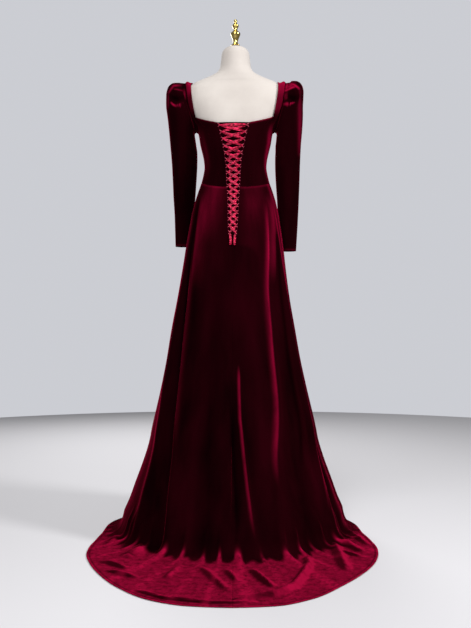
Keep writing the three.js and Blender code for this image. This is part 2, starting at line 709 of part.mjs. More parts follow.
// A sleeve: ring 0 follows the armhole, the others are the rows of its table.
function sleeveSurface(table, side) {
  const count = table.length;
  const outward = new THREE.Vector3(240, 0, 1570);
  const first = (angle) => {
    const up = (Math.cos(angle) + 1) / 2;
    const behind = Math.sin(angle) >= 0;
    const armhole = behind ? backArmhole : frontArmhole;
    const edge = (share) => bodiceAt(...seamPlace(armhole, clamp(share, 0, 1), 1, behind, 0));
    const [turn, height] = seamPlace(armhole, up, 1, behind, 0);
    const normal = formNormal(turn, height);
    const p = edge(up).addScaledVector(normal, -clothThickness / 2);
    const aside = edge(up + 0.02).sub(edge(up - 0.02)).cross(normal).normalize();
    if (aside.dot(outward.clone().sub(p)) < 0) aside.negate();
    aside.y *= smooth(Math.abs(Math.sin(angle)) / 0.4);
    aside.normalize();
    return p.addScaledVector(aside, clothThickness / 2 + seamGap + 0.4);
  };
  const ring = (k, angle) => {
    if (k === 0) return first(angle);
    const row = table[k - 1];
    const c = power(Math.cos(angle), row.round);
    const s = power(Math.sin(angle), row.round);
    const x = mix(row.inX, row.outX, (c + 1) / 2);
    const z = mix(row.inZ, row.outZ, (c + 1) / 2);
    return new THREE.Vector3(x, row.lean + s * row.depth, z);
  };
  return (angleTurn, place) => {
    const angle = angleTurn * deg;
    const at = clamp(place, 0, count);
    const k = Math.min(Math.floor(at), count - 1);
    const t = at - k;
    const points = [k - 1, k, k + 1, k + 2].map((n) => ring(clamp(n, 0, count), angle));
    const p = new THREE.Vector3();
    const [t2, t3] = [t ** 2, t ** 3];
    const weights = [2 * t2 - t - t3, 2 - 5 * t2 + 3 * t3, t + 4 * t2 - 3 * t3, t3 - t2];
    points.forEach((q, n) => p.addScaledVector(q, weights[n] / 2));
    const arc = (p.x - headTuck.x) / headTuck.half;
    const down = (p.z - headTuck.height - headTuck.sag * arc * arc) / headTuck.tall;
    const tuck = headTuck.deep * bell(down) * bell(arc) * smooth((Math.abs(p.y) - 20) / 20);
    p.y -= Math.sign(p.y) * tuck;
    p.x *= side;
    return p;
  };
}

function addSleeve(word, side, table) {
  const surface = sleeveSurface(table, side);
  const rows = table.length;
  const cols = 2 * strapRows.armhole;
  const normal = (angle, place) => {
    const n = normalOf(surface, angle, clamp(place, 0.3, rows - 0.05), 9, 0.05);
    return n.multiplyScalar(-side);
  };
  const geometry = wall({
    place: (across, up, i, j) => [(i / cols) * 360, j],
    surface,
    normal,
    cols,
    rows,
    high: clothThickness / 2,
    low: -clothThickness / 2,
    closed: true,
  });
  add(`sleeve_${word}`, geometry, cloth("velvet"));
}

// The modesty panel behind the lacing, under the cloth's edges.
function addModestyPanel() {
  const topHeight = neckAtBack.middle - 1;
  const bottomHeight = openingEnd - 14;
  const rows = 16;
  const place = (across, up) => {
    const height = mix(bottomHeight, topHeight, up);
    const half = openingAt(height) + mix(10, 14, up);
    return [mix(-half, half, across), height];
  };
  const geometry = wall({
    place,
    surface: (x, height) => backFace(x, height).point,
    normal: (x, height) => backFace(x, height).normal,
    cols: 4,
    rows,
    high: -panelUnderCloth,
    low: -panelUnderCloth - panelThickness,
  });
  add("modesty_panel", geometry, cloth("velvet"));
}

const tipHeight = (k) => laceTop - lacePitch * k;
const loopLevel = (ribbon.over + ribbon.under) / 2;
const tipReach = (k) => along(laceRows, "height", "reach", tipHeight(k));

// A flat ring across the ribbon at (x, height), its width along `wide` in the cloth's face.
function ribbonRing(x, height, over, width, slope, tilt) {
  const { point, normal } = backFace(x, height);
  const upward = laid(x, height + 1, 0).sub(point);
  const sideways = laid(x + 1, height, 0).sub(point);
  const across = upward.addScaledVector(sideways, slope).normalize();
  const flat = normal.clone().multiplyScalar(Math.cos(tilt));
  flat.addScaledVector(sideways.normalize(), Math.sin(tilt));
  const middle = point.addScaledVector(normal, over);
  const thick = ribbon.thickness / 2;
  return [[1, 1], [-1, 1], [-1, -1], [1, -1]].map(([a, b]) =>
    middle.clone().addScaledVector(across, (a * width) / 2).addScaledVector(flat, b * thick),
  );
}

// The widths of the ribbon along a crossing, as places on it and shares of its full width.
const crossing = [[0.3, 0.92], [0.7, 0.92]];

// The free ends of the lace below its last turns: distance from the middle, height under the last
// turn, level over the cloth, width and slope at each place.
const leftTail = [
  { x: 9.6, down: 6.5, over: 2.1, width: 6.5, slope: -1.5 },
  { x: 7.6, down: 17, over: 2.5, width: 9, slope: -6 },
  { x: 6.6, down: 46, over: 2.5, width: 8.6, slope: -20 },
];
const rightTail = [
  { x: -9.6, down: 6.5, over: -0.9, width: 6.5, slope: 1.5 },
  { x: -8.2, down: 17, over: 0.6, width: 9, slope: 6 },
  { x: -8, down: 30, over: 2.3, width: 9, slope: 20 },
  { x: -7.6, down: 47, over: 2.5, width: 8.6, slope: 20 },
];

// One half of the lace. It crosses over the other half on its way to the wearer's right and goes
// under it on its way back, turns round a loop at each edge, and ends in a hanging tail.
function laceHalf(firstSide) {
  const rings = [];
  const { over, under, narrow, wide } = ribbon;
  const turnLevel = (over + under) / 2;
  const turnOut = over - turnLevel + 0.1;
  let side = firstSide;
  if (firstSide < 0) {
    const reach = tipReach(0);
    for (const [share, width] of [[0.05, 0.3], [0.3, 0.8], [0.7, 0.8]]) {
      const x = mix(reach, -reach, share);
      const lift = 6 * (1 - share);
      rings.push(ribbonRing(x, laceTop + lift, over + 1.7, wide * width, 0, 0));
    }
    rings.push(ribbonRing(-reach + 0.2, laceTop + 0.4, over, narrow, 0, 0));
    rings.push(ribbonRing(-reach - turnOut, laceTop, turnLevel, narrow, 0, -Math.PI / 2));
  }
  for (let k = 0; k < laceTurns; k += 1) {
    const toRight = side > 0;
    const level = toRight ? over : under;
    const flip = toRight ? 0 : Math.PI;
    const fromX = side * tipReach(k);
    const toX = -side * tipReach(k + 1);
    const slope = lacePitch / (toX - fromX);
    rings.push(ribbonRing(fromX - side * 0.2, tipHeight(k), level, narrow, slope * 0.3, flip));
    for (const [share, width] of crossing) {
      const x = mix(fromX, toX, share);
      rings.push(ribbonRing(x, tipHeight(k + share), level, wide * width, slope, flip));
    }
    side = -side;
    rings.push(ribbonRing(toX - side * 0.2, tipHeight(k + 1), level, narrow, slope * 0.3, flip));
    const turnX = side * (tipReach(k + 1) + turnOut);
    rings.push(ribbonRing(turnX, tipHeight(k + 1), turnLevel, narrow, 0, (side * Math.PI) / 2));
  }
  const end = tipHeight(laceTurns);
  const tail = side > 0 ? leftTail : rightTail;
  const flip = side > 0 ? 0 : Math.PI;
  const back = side * (tipReach(laceTurns) - 0.2);
  rings.push(ribbonRing(back, end, tail[0].over, narrow, -0.3 * side, flip));
  for (const { x, down, over: level, width, slope } of tail) {
    rings.push(ribbonRing(x, end - down, level, width, slope, flip));
  }
  return rings;
}

function addLace() {
  for (const [word, firstSide] of [["first", 1], ["second", -1]]) {
    const rings = laceHalf(firstSide);
    add(`lace_${word}_half`, bar(rings), satin);
  }
}

dress.name = "evening dress on a dress form";

// The form's own surface: a little inside the plan surface wherever the dress covers it.
function addForm() {
  const around = 28;
  const skin = (turn, height) => {
    const p = formAt(turn, height);
    const covered = smooth((1676 - height) / 12);
    const shoulder = smooth((Math.abs(p.x) - 148) / 9) * smooth((height - 1560) / 40);
    const inward = covered * (formSlack + shoulderSlack * shoulder);
    return p.addScaledVector(formNormal(turn, height), -inward);
  };
  const rings = formRows.map(({ height }) =>
    Array.from({ length: around }, (_, i) => skin((i / around) * 360, height)),
  );
  add("form_torso", bar(rings), linen);
}

function addStand() {
  const base = new THREE.CylinderGeometry(baseRadius - 4, baseRadius, baseThickness, 40);
  base.rotateX(Math.PI / 2);
  base.translate(0, 0, baseThickness / 2);
  add("stand_base", base, steel);
  const poleLow = baseThickness + seamGap;
  const poleLong = formBottom - seamGap - poleLow;
  const pole = new THREE.CylinderGeometry(poleRadius, poleRadius, poleLong, 20);
  pole.rotateX(Math.PI / 2);
  pole.translate(0, 0, poleLow + poleLong / 2);
  add("stand_pole", pole, steel);
}

// The turned finial on the neck: its radius at each height over the neck's top.
function addFinial() {
  const profile = [
    [0, 0], [15, 0], [15, 2.5], [11, 5], [7, 9], [6.5, 14], [11, 22], [17, 30], [19.5, 38],
    [18, 46], [12, 52], [7.5, 58], [4.5, 64], [5, 69], [10, 74], [12, 80], [10, 86], [6.5, 90],
    [7, 95], [5.5, 99.5], [0, 101],
  ];
  const points = profile.map(([r, z]) => new THREE.Vector2(r, z));
  const finial = new THREE.LatheGeometry(points, 14);
  finial.rotateX(Math.PI / 2);
  finial.translate(0, 0, formTop + seamGap);
  add("finial", finial, brass);
}

// A strip along each edge of the opening, with the sewn loops that hold the lace.
function addLoopTape(word, side) {
  const rows = laceTurns + 1;
  const low = tipHeight(laceTurns) - 12;
  const place = (across, up) => {
    const height = mix(low, neckAtBack.middle - 1, up);
    const edge = openingAt(height) - seamGap;
    return [side * mix(edge - tape.wide, edge, across), height];
  };
  const strip = wall({
    place,
    surface: (x, height) => backFace(x, height).point,
    normal: (x, height) => backFace(x, height).normal,
    cols: 1,
    rows,
    high: tape.high,
    low: tape.low,
  });
  let solid = solidOf(strip);
  for (let k = 0; k <= laceTurns; k += 1) {
    const inside = tipReach(k) - loop.inset;
    const sewn = openingAt(tipHeight(k)) - seamGap - tape.wide / 2;
    const route = [
      [sewn, loop.foot, -0.9], [inside, loop.bight, loopLevel],
      [inside, -loop.bight, loopLevel], [sewn, -loop.foot, -0.9],
    ].map(([x, up, over]) => laid(side * x, tipHeight(k) + up, over));
    solid = solid.add(solidOf(tubeAlong(route, loop.wire, 4)));
  }
  add(`loop_tape_${word}`, geometryOf(solid), loopCord);
}

// A thin tube with flat ends through a few points.
function tubeAlong(route, radius, sides) {
  const rings = route.map((p, k) => {
    const before = route[Math.max(0, k - 1)];
    const after = route[Math.min(route.length - 1, k + 1)];
    const ahead = after.clone().sub(before).normalize();
    const out = new THREE.Vector3(0, 1, 0).projectOnPlane(ahead).normalize();
    const across = ahead.clone().cross(out);
    return Array.from({ length: sides }, (_, n) => {
      const angle = ((n + 0.5) / sides) * 2 * Math.PI;
      return p
        .clone()
        .addScaledVector(out, radius * Math.cos(angle))
        .addScaledVector(across, radius * Math.sin(angle));
    });
  });
  return bar(rings);
}

addForm();
addStand();
addFinial();
add("bodice_front", frontPanel(), cloth("velvet"));
for (const [word, side] of [["left", 1], ["right", -1]]) {
  add(`bodice_back_${word}`, backPanel(side), cloth("velvet"));
  add(`bodice_side_back_${word}`, sidePanel(side, true), cloth("velvet"));
  add(`bodice_side_front_${word}`, sidePanel(side, false), cloth("velvet"));
  addLoopTape(word, side);
}
addSleeve("left", 1, leftSleeveRows);
addSleeve("right", -1, rightSleeveRows);
addModestyPanel();
addSkirt();
addLace();

export default dress;
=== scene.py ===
import math

import bmesh
import bpy
import numpy as np
from mathutils import Matrix, Vector


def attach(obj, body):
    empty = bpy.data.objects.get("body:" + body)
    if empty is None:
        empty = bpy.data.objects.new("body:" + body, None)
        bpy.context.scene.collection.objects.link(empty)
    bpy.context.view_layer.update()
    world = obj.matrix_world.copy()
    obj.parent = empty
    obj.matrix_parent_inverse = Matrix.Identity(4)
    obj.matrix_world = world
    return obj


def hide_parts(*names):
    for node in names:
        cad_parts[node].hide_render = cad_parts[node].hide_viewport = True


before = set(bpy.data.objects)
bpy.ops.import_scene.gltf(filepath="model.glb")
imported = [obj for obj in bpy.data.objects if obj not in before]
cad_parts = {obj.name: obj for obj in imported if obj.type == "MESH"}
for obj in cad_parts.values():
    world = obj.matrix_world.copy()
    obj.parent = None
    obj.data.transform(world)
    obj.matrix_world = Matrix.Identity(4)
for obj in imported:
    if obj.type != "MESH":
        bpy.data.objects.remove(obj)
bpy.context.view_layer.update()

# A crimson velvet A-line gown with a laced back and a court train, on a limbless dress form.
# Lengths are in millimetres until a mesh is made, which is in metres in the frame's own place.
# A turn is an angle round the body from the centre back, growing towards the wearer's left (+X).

MM = 0.001
SIDES = (("left", 1), ("right", -1))


class Rows:
    """A short table whose named columns read as smooth curves along its first column."""

    def __init__(self, columns, rows):
        self.columns = columns.split()
        self.data = np.array(rows, float).T

    def read(self, column, at):
        place, value = self.data[0], self.data[self.columns.index(column)]
        step = np.diff(value) / np.diff(place)
        before, after = step[:-1], step[1:]
        same_way = before * after > 0
        harmonic = 2 * before * after / np.where(same_way, before + after, 1)
        slope = np.concatenate(([step[0]], np.where(same_way, harmonic, 0), [step[-1]]))
        at = np.clip(at, place[0], place[-1])
        k = np.clip(np.searchsorted(place, at, side="right") - 1, 0, len(place) - 2)
        long = place[k + 1] - place[k]
        t = (at - place[k]) / long
        return (
            (2 * t**3 - 3 * t**2 + 1) * value[k]
            + (t**3 - 2 * t**2 + t) * long * slope[k]
            + (3 * t**2 - 2 * t**3) * value[k + 1]
            + (t**3 - t**2) * long * slope[k + 1]
        )

    def span(self):
        return self.data[0][0], self.data[0][-1]


# The dress form: half its width, its depth behind and before the pole, and how square it is.
FORM = Rows("height half back front round", [
    (1012, 146, 92, 86, 1), (1050, 158, 105, 96, 1), (1100, 162, 112, 101, 1),
    (1150, 160, 112, 101, 1), (1190, 154.5, 108, 99, 1), (1230, 144, 100, 96, 0.97),
    (1260, 135.5, 93, 93, 0.95), (1290, 125, 87, 90, 0.93), (1321, 117, 82, 87, 0.92),
    (1351, 112.6, 80, 86, 0.92), (1381, 115.5, 82, 88, 0.9), (1411, 122, 86, 92, 0.88),
    (1441, 129, 90, 96, 0.86), (1472, 134, 94, 95, 0.84), (1500, 143, 95, 90, 0.82),
    (1530, 158, 93, 82, 0.8), (1560, 172, 89, 75, 0.8), (1600, 186, 80, 66, 0.82),
    (1625, 190, 73, 60, 0.86), (1645, 190, 67, 56, 0.9), (1656, 182, 64, 54, 0.94),
    (1665, 168, 62, 52, 0.97), (1675, 146, 60, 51, 1), (1686, 118, 58, 50, 1),
    (1697, 92, 57, 50, 1), (1710, 70, 56, 50, 1), (1728, 59, 54, 49, 1),
    (1755, 55, 52, 48, 1), (1780, 52, 49, 46, 1), (1794, 45, 43, 41, 1),
    (1804, 32, 30, 29, 1), (1811, 8, 8, 8, 1),
])
BUST = {"turn": 144, "height": 1446, "reach": 24, "spread": 30, "tall": 44}
# The gown's distance over the form, how far in its cover is, and further in under the straps.
CLOTH_OVER_FORM = 4.2
FORM_SLACK = 1.4
SHOULDER_SLACK = 1.0
UNDER_STRAPS = {"out": 148, "wide": 9, "height": 1560, "tall": 40}
COVER_BARE_FROM = 1676
CLOTH = 1.6

# The outer face of the skirt from the hips to where it turns onto the floor.
SKIRT = Rows("height half back front", [
    (0, 424, 447, 300), (64, 408, 424, 288), (110, 388, 404, 277), (174, 365, 379, 261),
    (264, 332, 346, 239), (324, 314, 325, 226), (385, 302, 304, 214), (445, 288, 284, 202),
    (506, 274, 265, 191), (566, 261.5, 248, 181), (626, 250, 231, 171), (747, 231, 201, 153),
    (868, 210, 173, 137), (989, 192, 147, 122), (1049, 184, 136, 116), (1110, 174.5, 126, 111),
    (1140, 169.5, 121, 108), (1170, 164.5, 116, 106), (1200, 157.5, 111, 103),
    (1230, 150, 105, 100), (1260, 140.5, 98, 97), (1290, 129.2, 91.2, 94.2),
])
# The waist seam: its height at the sides, how far it drops at the middle, and how far below it
# the skirt leaves the form.
WAIST_AT_SIDE = 1290
WAIST_DROP = 27
HIP_BLEND = 70
# How far the lacing, the corners of the neckline and the low skirt lie towards the wearer's left.
LACE_CENTRE = 7
NECK_SHIFT = 3.5
SKIRT_SWAY = 10
SWAY_RUN = 650
# The height where the skirt turns onto the floor, and that of the cloth that lies on it.
FLOOR_CURVE = 64
FLAT = 2.0
# The gap between two panels, and between the gores, which are sewn close.
SEAM_GAP = 0.3
SEWN_GAP = 0.04

# How far the hem lies from the pole on the floor, on the wearer's left and right.
HEM = Rows("turn left right", [
    (0, 893, 893), (8, 890, 887), (15, 869, 853), (25, 801, 772), (34, 734, 712),
    (43, 676, 660), (51, 631, 614), (58, 587, 574), (68, 530, 516), (80, 492, 470),
    (95, 478, 452), (115, 436, 420), (140, 372, 364), (180, 330, 330),
])


def track(*places):
    """The turn at each height along a fold, from the floor up."""
    return Rows("height turn", places)


# Long folds: how far each stands out (or in), its half width on the wearer's right and left of
# its crest, and its track up to the height where it starts.
SKIRT_FOLDS = [
    (17, 10, 30, track((0, -11.5), (131, -9.7), (314, -7.9), (452, -5.7), (660, -5.5))),
    (-13, 16, 9, track((0, -2), (165, -1.5), (452, 0.5), (660, 2.5))),
    (12, 24, 15, track((0, -22), (300, -27.5), (520, -34), (860, -36), (1035, -42), (1190, -45))),
    (-9, 22, 30, track((0, -38), (437, -46), (900, -55))),
    (15, 24, 20, track((0, -58), (247, -64), (437, -70), (754, -69), (1150, -66))),
    (-18, 28, 22, track((0, -70), (437, -77), (754, -80), (1060, -80))),
    (16, 34, 34, track((0, -99), (1060, -103))),
    (15, 34, 34, track((0, -126), (1000, -128))),
    (13, 32, 32, track((0, -158), (960, -160))),
    (14, 34, 34, track((0, 174), (980, 174))),
    (15, 34, 34, track((0, 138), (1020, 140))),
    (14, 34, 34, track((0, 104), (1040, 108))),
    (14, 20, 32, track((0, 52), (441, 60), (581, 66.5), (734, 67), (1150, 73))),
    (-23, 16, 18, track((0, 34.5), (351, 44.3), (755, 53.4), (1160, 62.6))),
    (13, 34, 13, track((0, 30), (357, 40), (586, 44.4), (910, 50), (1130, 53))),
    (-8, 30, 30, track((0, 17), (500, 24))),
    (7, 22, 16, track((0, 8), (420, 13), (820, 16))),
]

# Painted highlights on the velvet, and painted shade where the strength is below 0: how strongly,
# the half widths of the streak, and its track.
SKIRT_PAINTED_LIGHT_STREAKS = [
    (0.44, 4, 11,
     track((210, -26), (300, -27.5), (520, -34), (860, -36), (1035, -42), (1215, -48))),
    (0.44, 9, 4, track((150, -61), (247, -65), (437, -73), (754, -74), (1037, -67), (1220, -64))),
    (0.50, 3.5, 6,
     track((60, -11), (131, -9.7), (242, -8.4), (395, -6.5), (452, -5.7), (640, -5.6))),
    (0.60, 4, 3, track((100, -59), (184, -62), (247, -65), (430, -73))),
    (0.16, 12, 5, track((320, 38), (586, 44.4), (755, 46.4), (910, 50), (1180, 54))),
    (0.22, 5, 12, track((410, 59), (581, 66.5), (734, 67), (860, 71), (1037, 71), (1190, 73))),
    (0.20, 30, 26, track((880, 42), (1050, 48), (1262, 54))),
    (0.22, 46, 44, track((1040, 42), (1200, 36), (1370, 34))),
    (0.10, 46, 44, track((1080, -24), (1200, -26), (1370, -28))),
    (0.30, 10, 14, track((1110, -74), (1200, -70), (1370, -62))),
    (-0.22, 34, 34, track((120, -14), (640, -14), (1060, -12))),
    (0.32, 16, 30, track((900, -46), (1050, -54), (1262, -62))),
    (0.60, 10, 6, track((520, -78), (800, -78), (1037, -76), (1160, -75), (1268, -80))),
    (0.04, 40, 40, track((600, -14), (800, -16), (1262, -22))),
    (0.30, 3, 3, track((640, -35), (860, -36.4), (1035, -42.4), (1150, -46))),
    (-0.9, 12, 9, track((60, 35), (351, 44.6), (755, 53.8), (1036, 60), (1240, 64))),
    (-0.7, 13, 13, track((200, -44), (437, -55), (800, -56), (1120, -62))),
    (-0.6, 10, 5, track((40, -3), (165, -2.5), (320, -1), (520, 1.5))),
    (-0.35, 26, 26, track((60, 8), (400, 12), (1000, 16))),
    (0.40, 8, 5, track((180, 99), (1100, 108))), (0.35, 5, 8, track((160, 126), (1060, 140))),
    (0.35, 6, 6, track((150, 168), (1050, 174))), (0.40, 5, 8, track((150, -158), (1040, -160))),
    (0.40, 8, 5, track((170, -126), (1060, -128))), (0.30, 6, 6, track((180, -99), (1090, -103))),
]
# Painted highlights on the bodice, in the same columns.
BODICE_PAINTED_LIGHT_STREAKS = [
    (0.62, 30, 13, track((1262, -76), (1330, -74), (1420, -68), (1520, -62))),
    (0.14, 14, 20, track((1270, 58), (1380, 60), (1510, 62))),
    (0.30, 12, 12, track((1270, -152), (1430, -146), (1500, -142))),
    (0.30, 12, 12, track((1270, 152), (1430, 146), (1500, 142))),
]
# Where the painted highlight on the straps starts, and where a brighter one on the shoulder starts.
STRAP_LIT_FROM = 1532
SHOULDER_LIT_FROM = 1600

# The small gathers all round the foot of the train, and the roll of its hem.
RIPPLE = {"count": 19, "from": -84, "to": 84, "height": 130, "out": 7, "run": 120}
HEM_ROLL = 9

# Ridges of the train on the floor: height, half width, and the places that each passes.
TRAIN_RIDGES = [
    (20, 11, [(-239, 435), (-238, 519), (-206, 640), (-176, 733), (-112, 795), (-10, 836)]),
    (13, 11, [(-60, 560), (-88, 650), (-116, 715)]),
    (15, 15, [(-346, 270), (-349, 408), (-352, 560)]),
    (11, 14, [(-351, 166), (-392, 282), (-430, 350)]), (8, 11, [(-350, 342), (-416, 405)]),
    (10, 14, [(-400, 60), (-432, 152), (-462, 262)]), (15, 26, [(350, 404), (300, 300)]),
    (10, 11, [(420, 470), (340, 540)]), (9, 10, [(384, 570), (300, 630)]),
    (9, 12, [(96, 540), (60, 640), (18, 742)]), (8, 10, [(170, 520), (205, 640)]),
    (9, 12, [(410, 180), (440, 260)]), (8, 11, [(20, 560), (-10, 660)]),
    (9, 9, [(-60, 852), (60, 856), (190, 820), (275, 754)]),
]

# The seams of the bodice: distance from the middle at each height.
BACK_PRINCESS = Rows("height x", [(1262, 62), (1351, 62), (1440, 84), (1500, 118), (1531, 145)])
BACK_STRAP = Rows("height x", [
    (1531, 145), (1560, 152), (1600, 159), (1630, 163), (1652, 164.5), (1669, 163),
])
BACK_ARMHOLE = Rows("height x", [
    (1478, 140.2), (1483, 137.9), (1494, 139), (1520, 151.5), (1550, 165), (1585, 175.5),
    (1618, 181), (1640, 185), (1654, 190),
])
FRONT_PRINCESS = Rows("height x", [(1268, 58), (1351, 60), (1446, 88), (1490, 112), (1512, 126)])
FRONT_STRAP = Rows("height x", [
    (1512, 126), (1550, 140), (1595, 155), (1630, 163), (1652, 166), (1669, 163),
])
FRONT_ARMHOLE = Rows("height x", [
    (1478, 140.2), (1483, 137), (1494, 136), (1520, 145), (1550, 158), (1585, 170),
    (1618, 178), (1640, 184), (1654, 190),
])
NECK_AT_BACK = 1504
NECK_AT_FRONT = 1500
# How far the strap and the armhole rise over the form at the point of the shoulder.
SHOULDER_RISE = {"high": 16, "out": 164, "wide": 22, "height": 1628, "tall": 26}
# The side seam's half gap as a turn, and the width and height of the panels.
SIDE_GAP_TURN = 0.14
BACK_SIZE, SIDE_SIZE, FRONT_SIZE = (45, 240), (110, 420), (170, 240)

# Half the distance across the lacing, between the tips of its turns.
LACE = Rows("height reach", [
    (1036, 5), (1068, 9), (1105, 11.8), (1142, 13.6), (1179, 14.6), (1216, 15.8), (1253, 17),
    (1291, 18), (1324, 19), (1364, 21.6), (1386, 24), (1412, 27.2), (1437, 31), (1463, 36),
    (1504, 45.5),
])
LACE_TURNS = 16
LACE_PITCH = 24.8
LACE_TOP = 1493
OPENING_END = 1034
EDGE_BEYOND_LACE = 6.4
RIBBON = {"wide": 12, "narrow": 4, "thick": 1, "over": 2.1, "under": -0.9}
# The ribbon's share of its full width at each share of a crossing, and of the level top stretch.
CROSSING = ((0.14, 0.62), (0.3, 0.86), (0.5, 0.95), (0.7, 0.86), (0.86, 0.62))
TOP_STRETCH = ((0.05, 0.3), (0.18, 0.62), (0.38, 0.85), (0.62, 0.85), (0.82, 0.62))
# The free ends of the lace: distance from the middle, height under the last turn, level over the
# cloth, width and slope.
LEFT_TAIL = [
    (9.6, 6.5, 2.1, 6.5, -1.5), (8.3, 11.5, 2.4, 8.2, -3), (7.4, 18, 2.5, 9, -8),
    (6.9, 26, 2.6, 9, -16), (6.7, 36, 2.4, 8.8, -20), (6.6, 46, 2.5, 8.6, -20),
]
RIGHT_TAIL = [
    (-9.6, 6.5, -0.9, 6.5, 1.5), (-8.7, 12, -0.2, 8.2, 3), (-8.2, 18, 0.7, 9, 6),
    (-8.1, 24, 1.6, 9, 14), (-8, 31, 2.3, 9, 20), (-7.8, 39, 2.6, 8.8, 20),
    (-7.6, 47, 2.5, 8.6, 20),
]
# The corded loops: the cord's radius, half the bight, half the foot, and how far in the bight
# lies; and the tape that they are sewn to.
LOOP = {"wire": 0.8, "bight": 2.6, "foot": 6.2, "inset": 0.9}
TAPE = {"wide": 3, "thick": 1.9, "over": 0.1, "below": 12}
# The panel behind the lacing: how far it reaches below the opening and past its edges, how far it
# lies under the cloth, and its thickness.
MODESTY = {"below": 14, "past_low": 10, "past_high": 14, "under": 3, "thick": 1}

# The sleeves: each ring's upper outer point, lower inner point, half depth, lean and squareness,
# and the tuck and the pleats of their heads, and the painted shade over their heads' hollows.
LEFT_SLEEVE = np.array([
    (205, 1671.5, 148, 1483.5, 40, -1, 0.9), (215, 1672.5, 149.5, 1484.2, 50, -2, 0.84),
    (236, 1671, 152.2, 1481, 56, -2, 0.76), (252, 1659, 152.6, 1474.5, 56, -2, 0.76),
    (261, 1637, 151.5, 1466.5, 55, -2, 0.78), (263, 1607, 150, 1457, 53, -2, 0.82),
    (262.5, 1577, 148.2, 1446, 51, -2, 0.88), (258, 1543, 146.4, 1432, 50, -3, 0.92),
    (252.5, 1493, 143.5, 1414, 48, -4, 0.95), (247, 1430, 143, 1388, 46, -7, 0.97),
    (242, 1366, 144, 1350, 43, -12, 1), (239.5, 1305, 147.5, 1301, 40, -21, 1),
    (238, 1243, 152.5, 1243, 38, -36, 1), (235.5, 1184, 159, 1184, 35, -52, 1),
    (234.5, 1122, 164, 1122, 32, -65, 1), (233.5, 1060, 169, 1060, 30, -76, 1),
])
RIGHT_SLEEVE = np.array([
    (204, 1672.5, 148, 1483.5, 40, -1, 0.9), (213, 1678, 150, 1484.2, 50, -2, 0.84),
    (233, 1677, 153.3, 1481, 56, -2, 0.78), (249, 1665, 154.2, 1474.5, 56, -2, 0.76),
    (257, 1643, 153.1, 1466.5, 55, -2, 0.78), (257, 1612, 152.5, 1457, 53, -2, 0.82),
    (255.5, 1582, 151.2, 1446, 51, -2, 0.88), (255.5, 1546, 149.8, 1432, 50, -3, 0.92),
    (253, 1495, 149.5, 1412, 48, -4, 0.95), (248, 1432, 148.5, 1385, 46, -7, 0.97),
    (245, 1362, 149, 1345, 43, -12, 1), (243.5, 1298, 152, 1292, 40, -21, 1),
    (242, 1232, 157, 1230, 38, -36, 1), (240, 1170, 161, 1168, 35, -50, 1),
    (237, 1106, 165, 1105, 32, -60, 1), (233.5, 1042, 169, 1042, 30, -68, 1),
])
HEAD_TUCK = {"x": 216, "height": 1595, "sag": 11, "half": 27, "deep": 8, "tall": 8}
HEAD_PLEATS = {"count": 11, "deep": 3.4, "from": 1.5, "run": 1.5}
# Painted shade over the hollow of each sleeve's head: its place, half width, half height and
# darkness.
HEAD_PAINTED_SHADE = {"x": 214, "height": 1607, "half": 26, "tall": 17, "dark": 0.6}

# Painted highlights on each sleeve's head: strength, half width, and the places,
# each with its distance from the pole and its height.
LEFT_HEAD_PAINTED_HIGHLIGHTS = [
    (0.55, 4, [(206, 1656), (232, 1652), (250, 1624)]), (0.35, 3, [(228, 1637), (196, 1633)]),
    (0.30, 4, [(250, 1622), (252, 1572)]), (0.35, 4, [(192, 1640), (186, 1600)]),
    (1.15, 3, [(240, 1588), (232, 1579), (222, 1574)]),
    (0.60, 3, [(222, 1574), (206, 1577), (194, 1584)]),
]
RIGHT_HEAD_PAINTED_HIGHLIGHTS = [
    (1.3, 3.5, [(205, 1662), (220, 1654), (238, 1638)]),
    (1.2, 4, [(184, 1634), (206, 1641), (224, 1647)]),
    (1.1, 4, [(192, 1652), (204, 1648), (213, 1656)]),
    (0.9, 9, [(200, 1655), (214, 1656)]), (0.9, 5, [(196, 1664), (190, 1640)]),
    (0.28, 8, [(240, 1630), (242, 1400)]), (0.75, 3, [(176, 1584), (199, 1579), (220, 1586)]),
    (0.30, 10, [(186, 1624), (190, 1596)]),
]


def smooth(t):
    c = np.clip(t, 0, 1)
    return c * c * (3 - 2 * c)


def bell(v):
    return np.exp(-np.square(v))


def mix(a, b, t):
    return a + (b - a) * t


def signed_power(v, power):
    return np.sign(v) * np.abs(v) ** power


def wrapped(turn):
    return (np.asarray(turn) + 180) % 360 - 180


def matched(*values):
    """The values as arrays of one shape."""
    return np.broadcast_arrays(*(np.asarray(v, float) for v in values))


def unit(v):
    return v / np.linalg.norm(v, axis=-1, keepdims=True)


def dot(a, b):
    return (a * b).sum(-1, keepdims=True)


def normal_of(surface, u, v, step_u, step_v):
    """The outward normal of a surface of two values, found by small steps."""
    du = surface(u + step_u, v) - surface(u - step_u, v)
    dv = surface(u, v + step_v) - surface(u, v - step_v)
    return unit(np.cross(dv, du))


def form_at(turn, height):
    """The plan surface of the form at a turn and a height."""
    turn, height = matched(turn, height)
    s, c = np.sin(np.radians(turn)), np.cos(np.radians(turn))
    half = FORM.read("half", height)
    deep = np.where(c > 0, FORM.read("back", height), FORM.read("front", height))
    power = FORM.read("round", height)
    away = (np.abs(wrapped(turn)) - BUST["turn"]) / BUST["spread"]
    cup = BUST["reach"] * bell(away) * bell((height - BUST["height"]) / BUST["tall"])
    x = signed_power(s, power) * half + s * cup * 0.35
    y = signed_power(c, power) * deep + c * cup
    return np.stack([x, y, height], -1)


def form_normal(turn, height):
    return normal_of(form_at, turn, height, 0.5, 1.5)


def past(p, edge):
    """How far a point is past an edge of the shoulder, outwards and upwards, from 0 to 1."""
    outwards = smooth((np.abs(p[..., 0]) - edge["out"]) / edge["wide"])
    return outwards * smooth((p[..., 2] - edge["height"]) / edge["tall"])


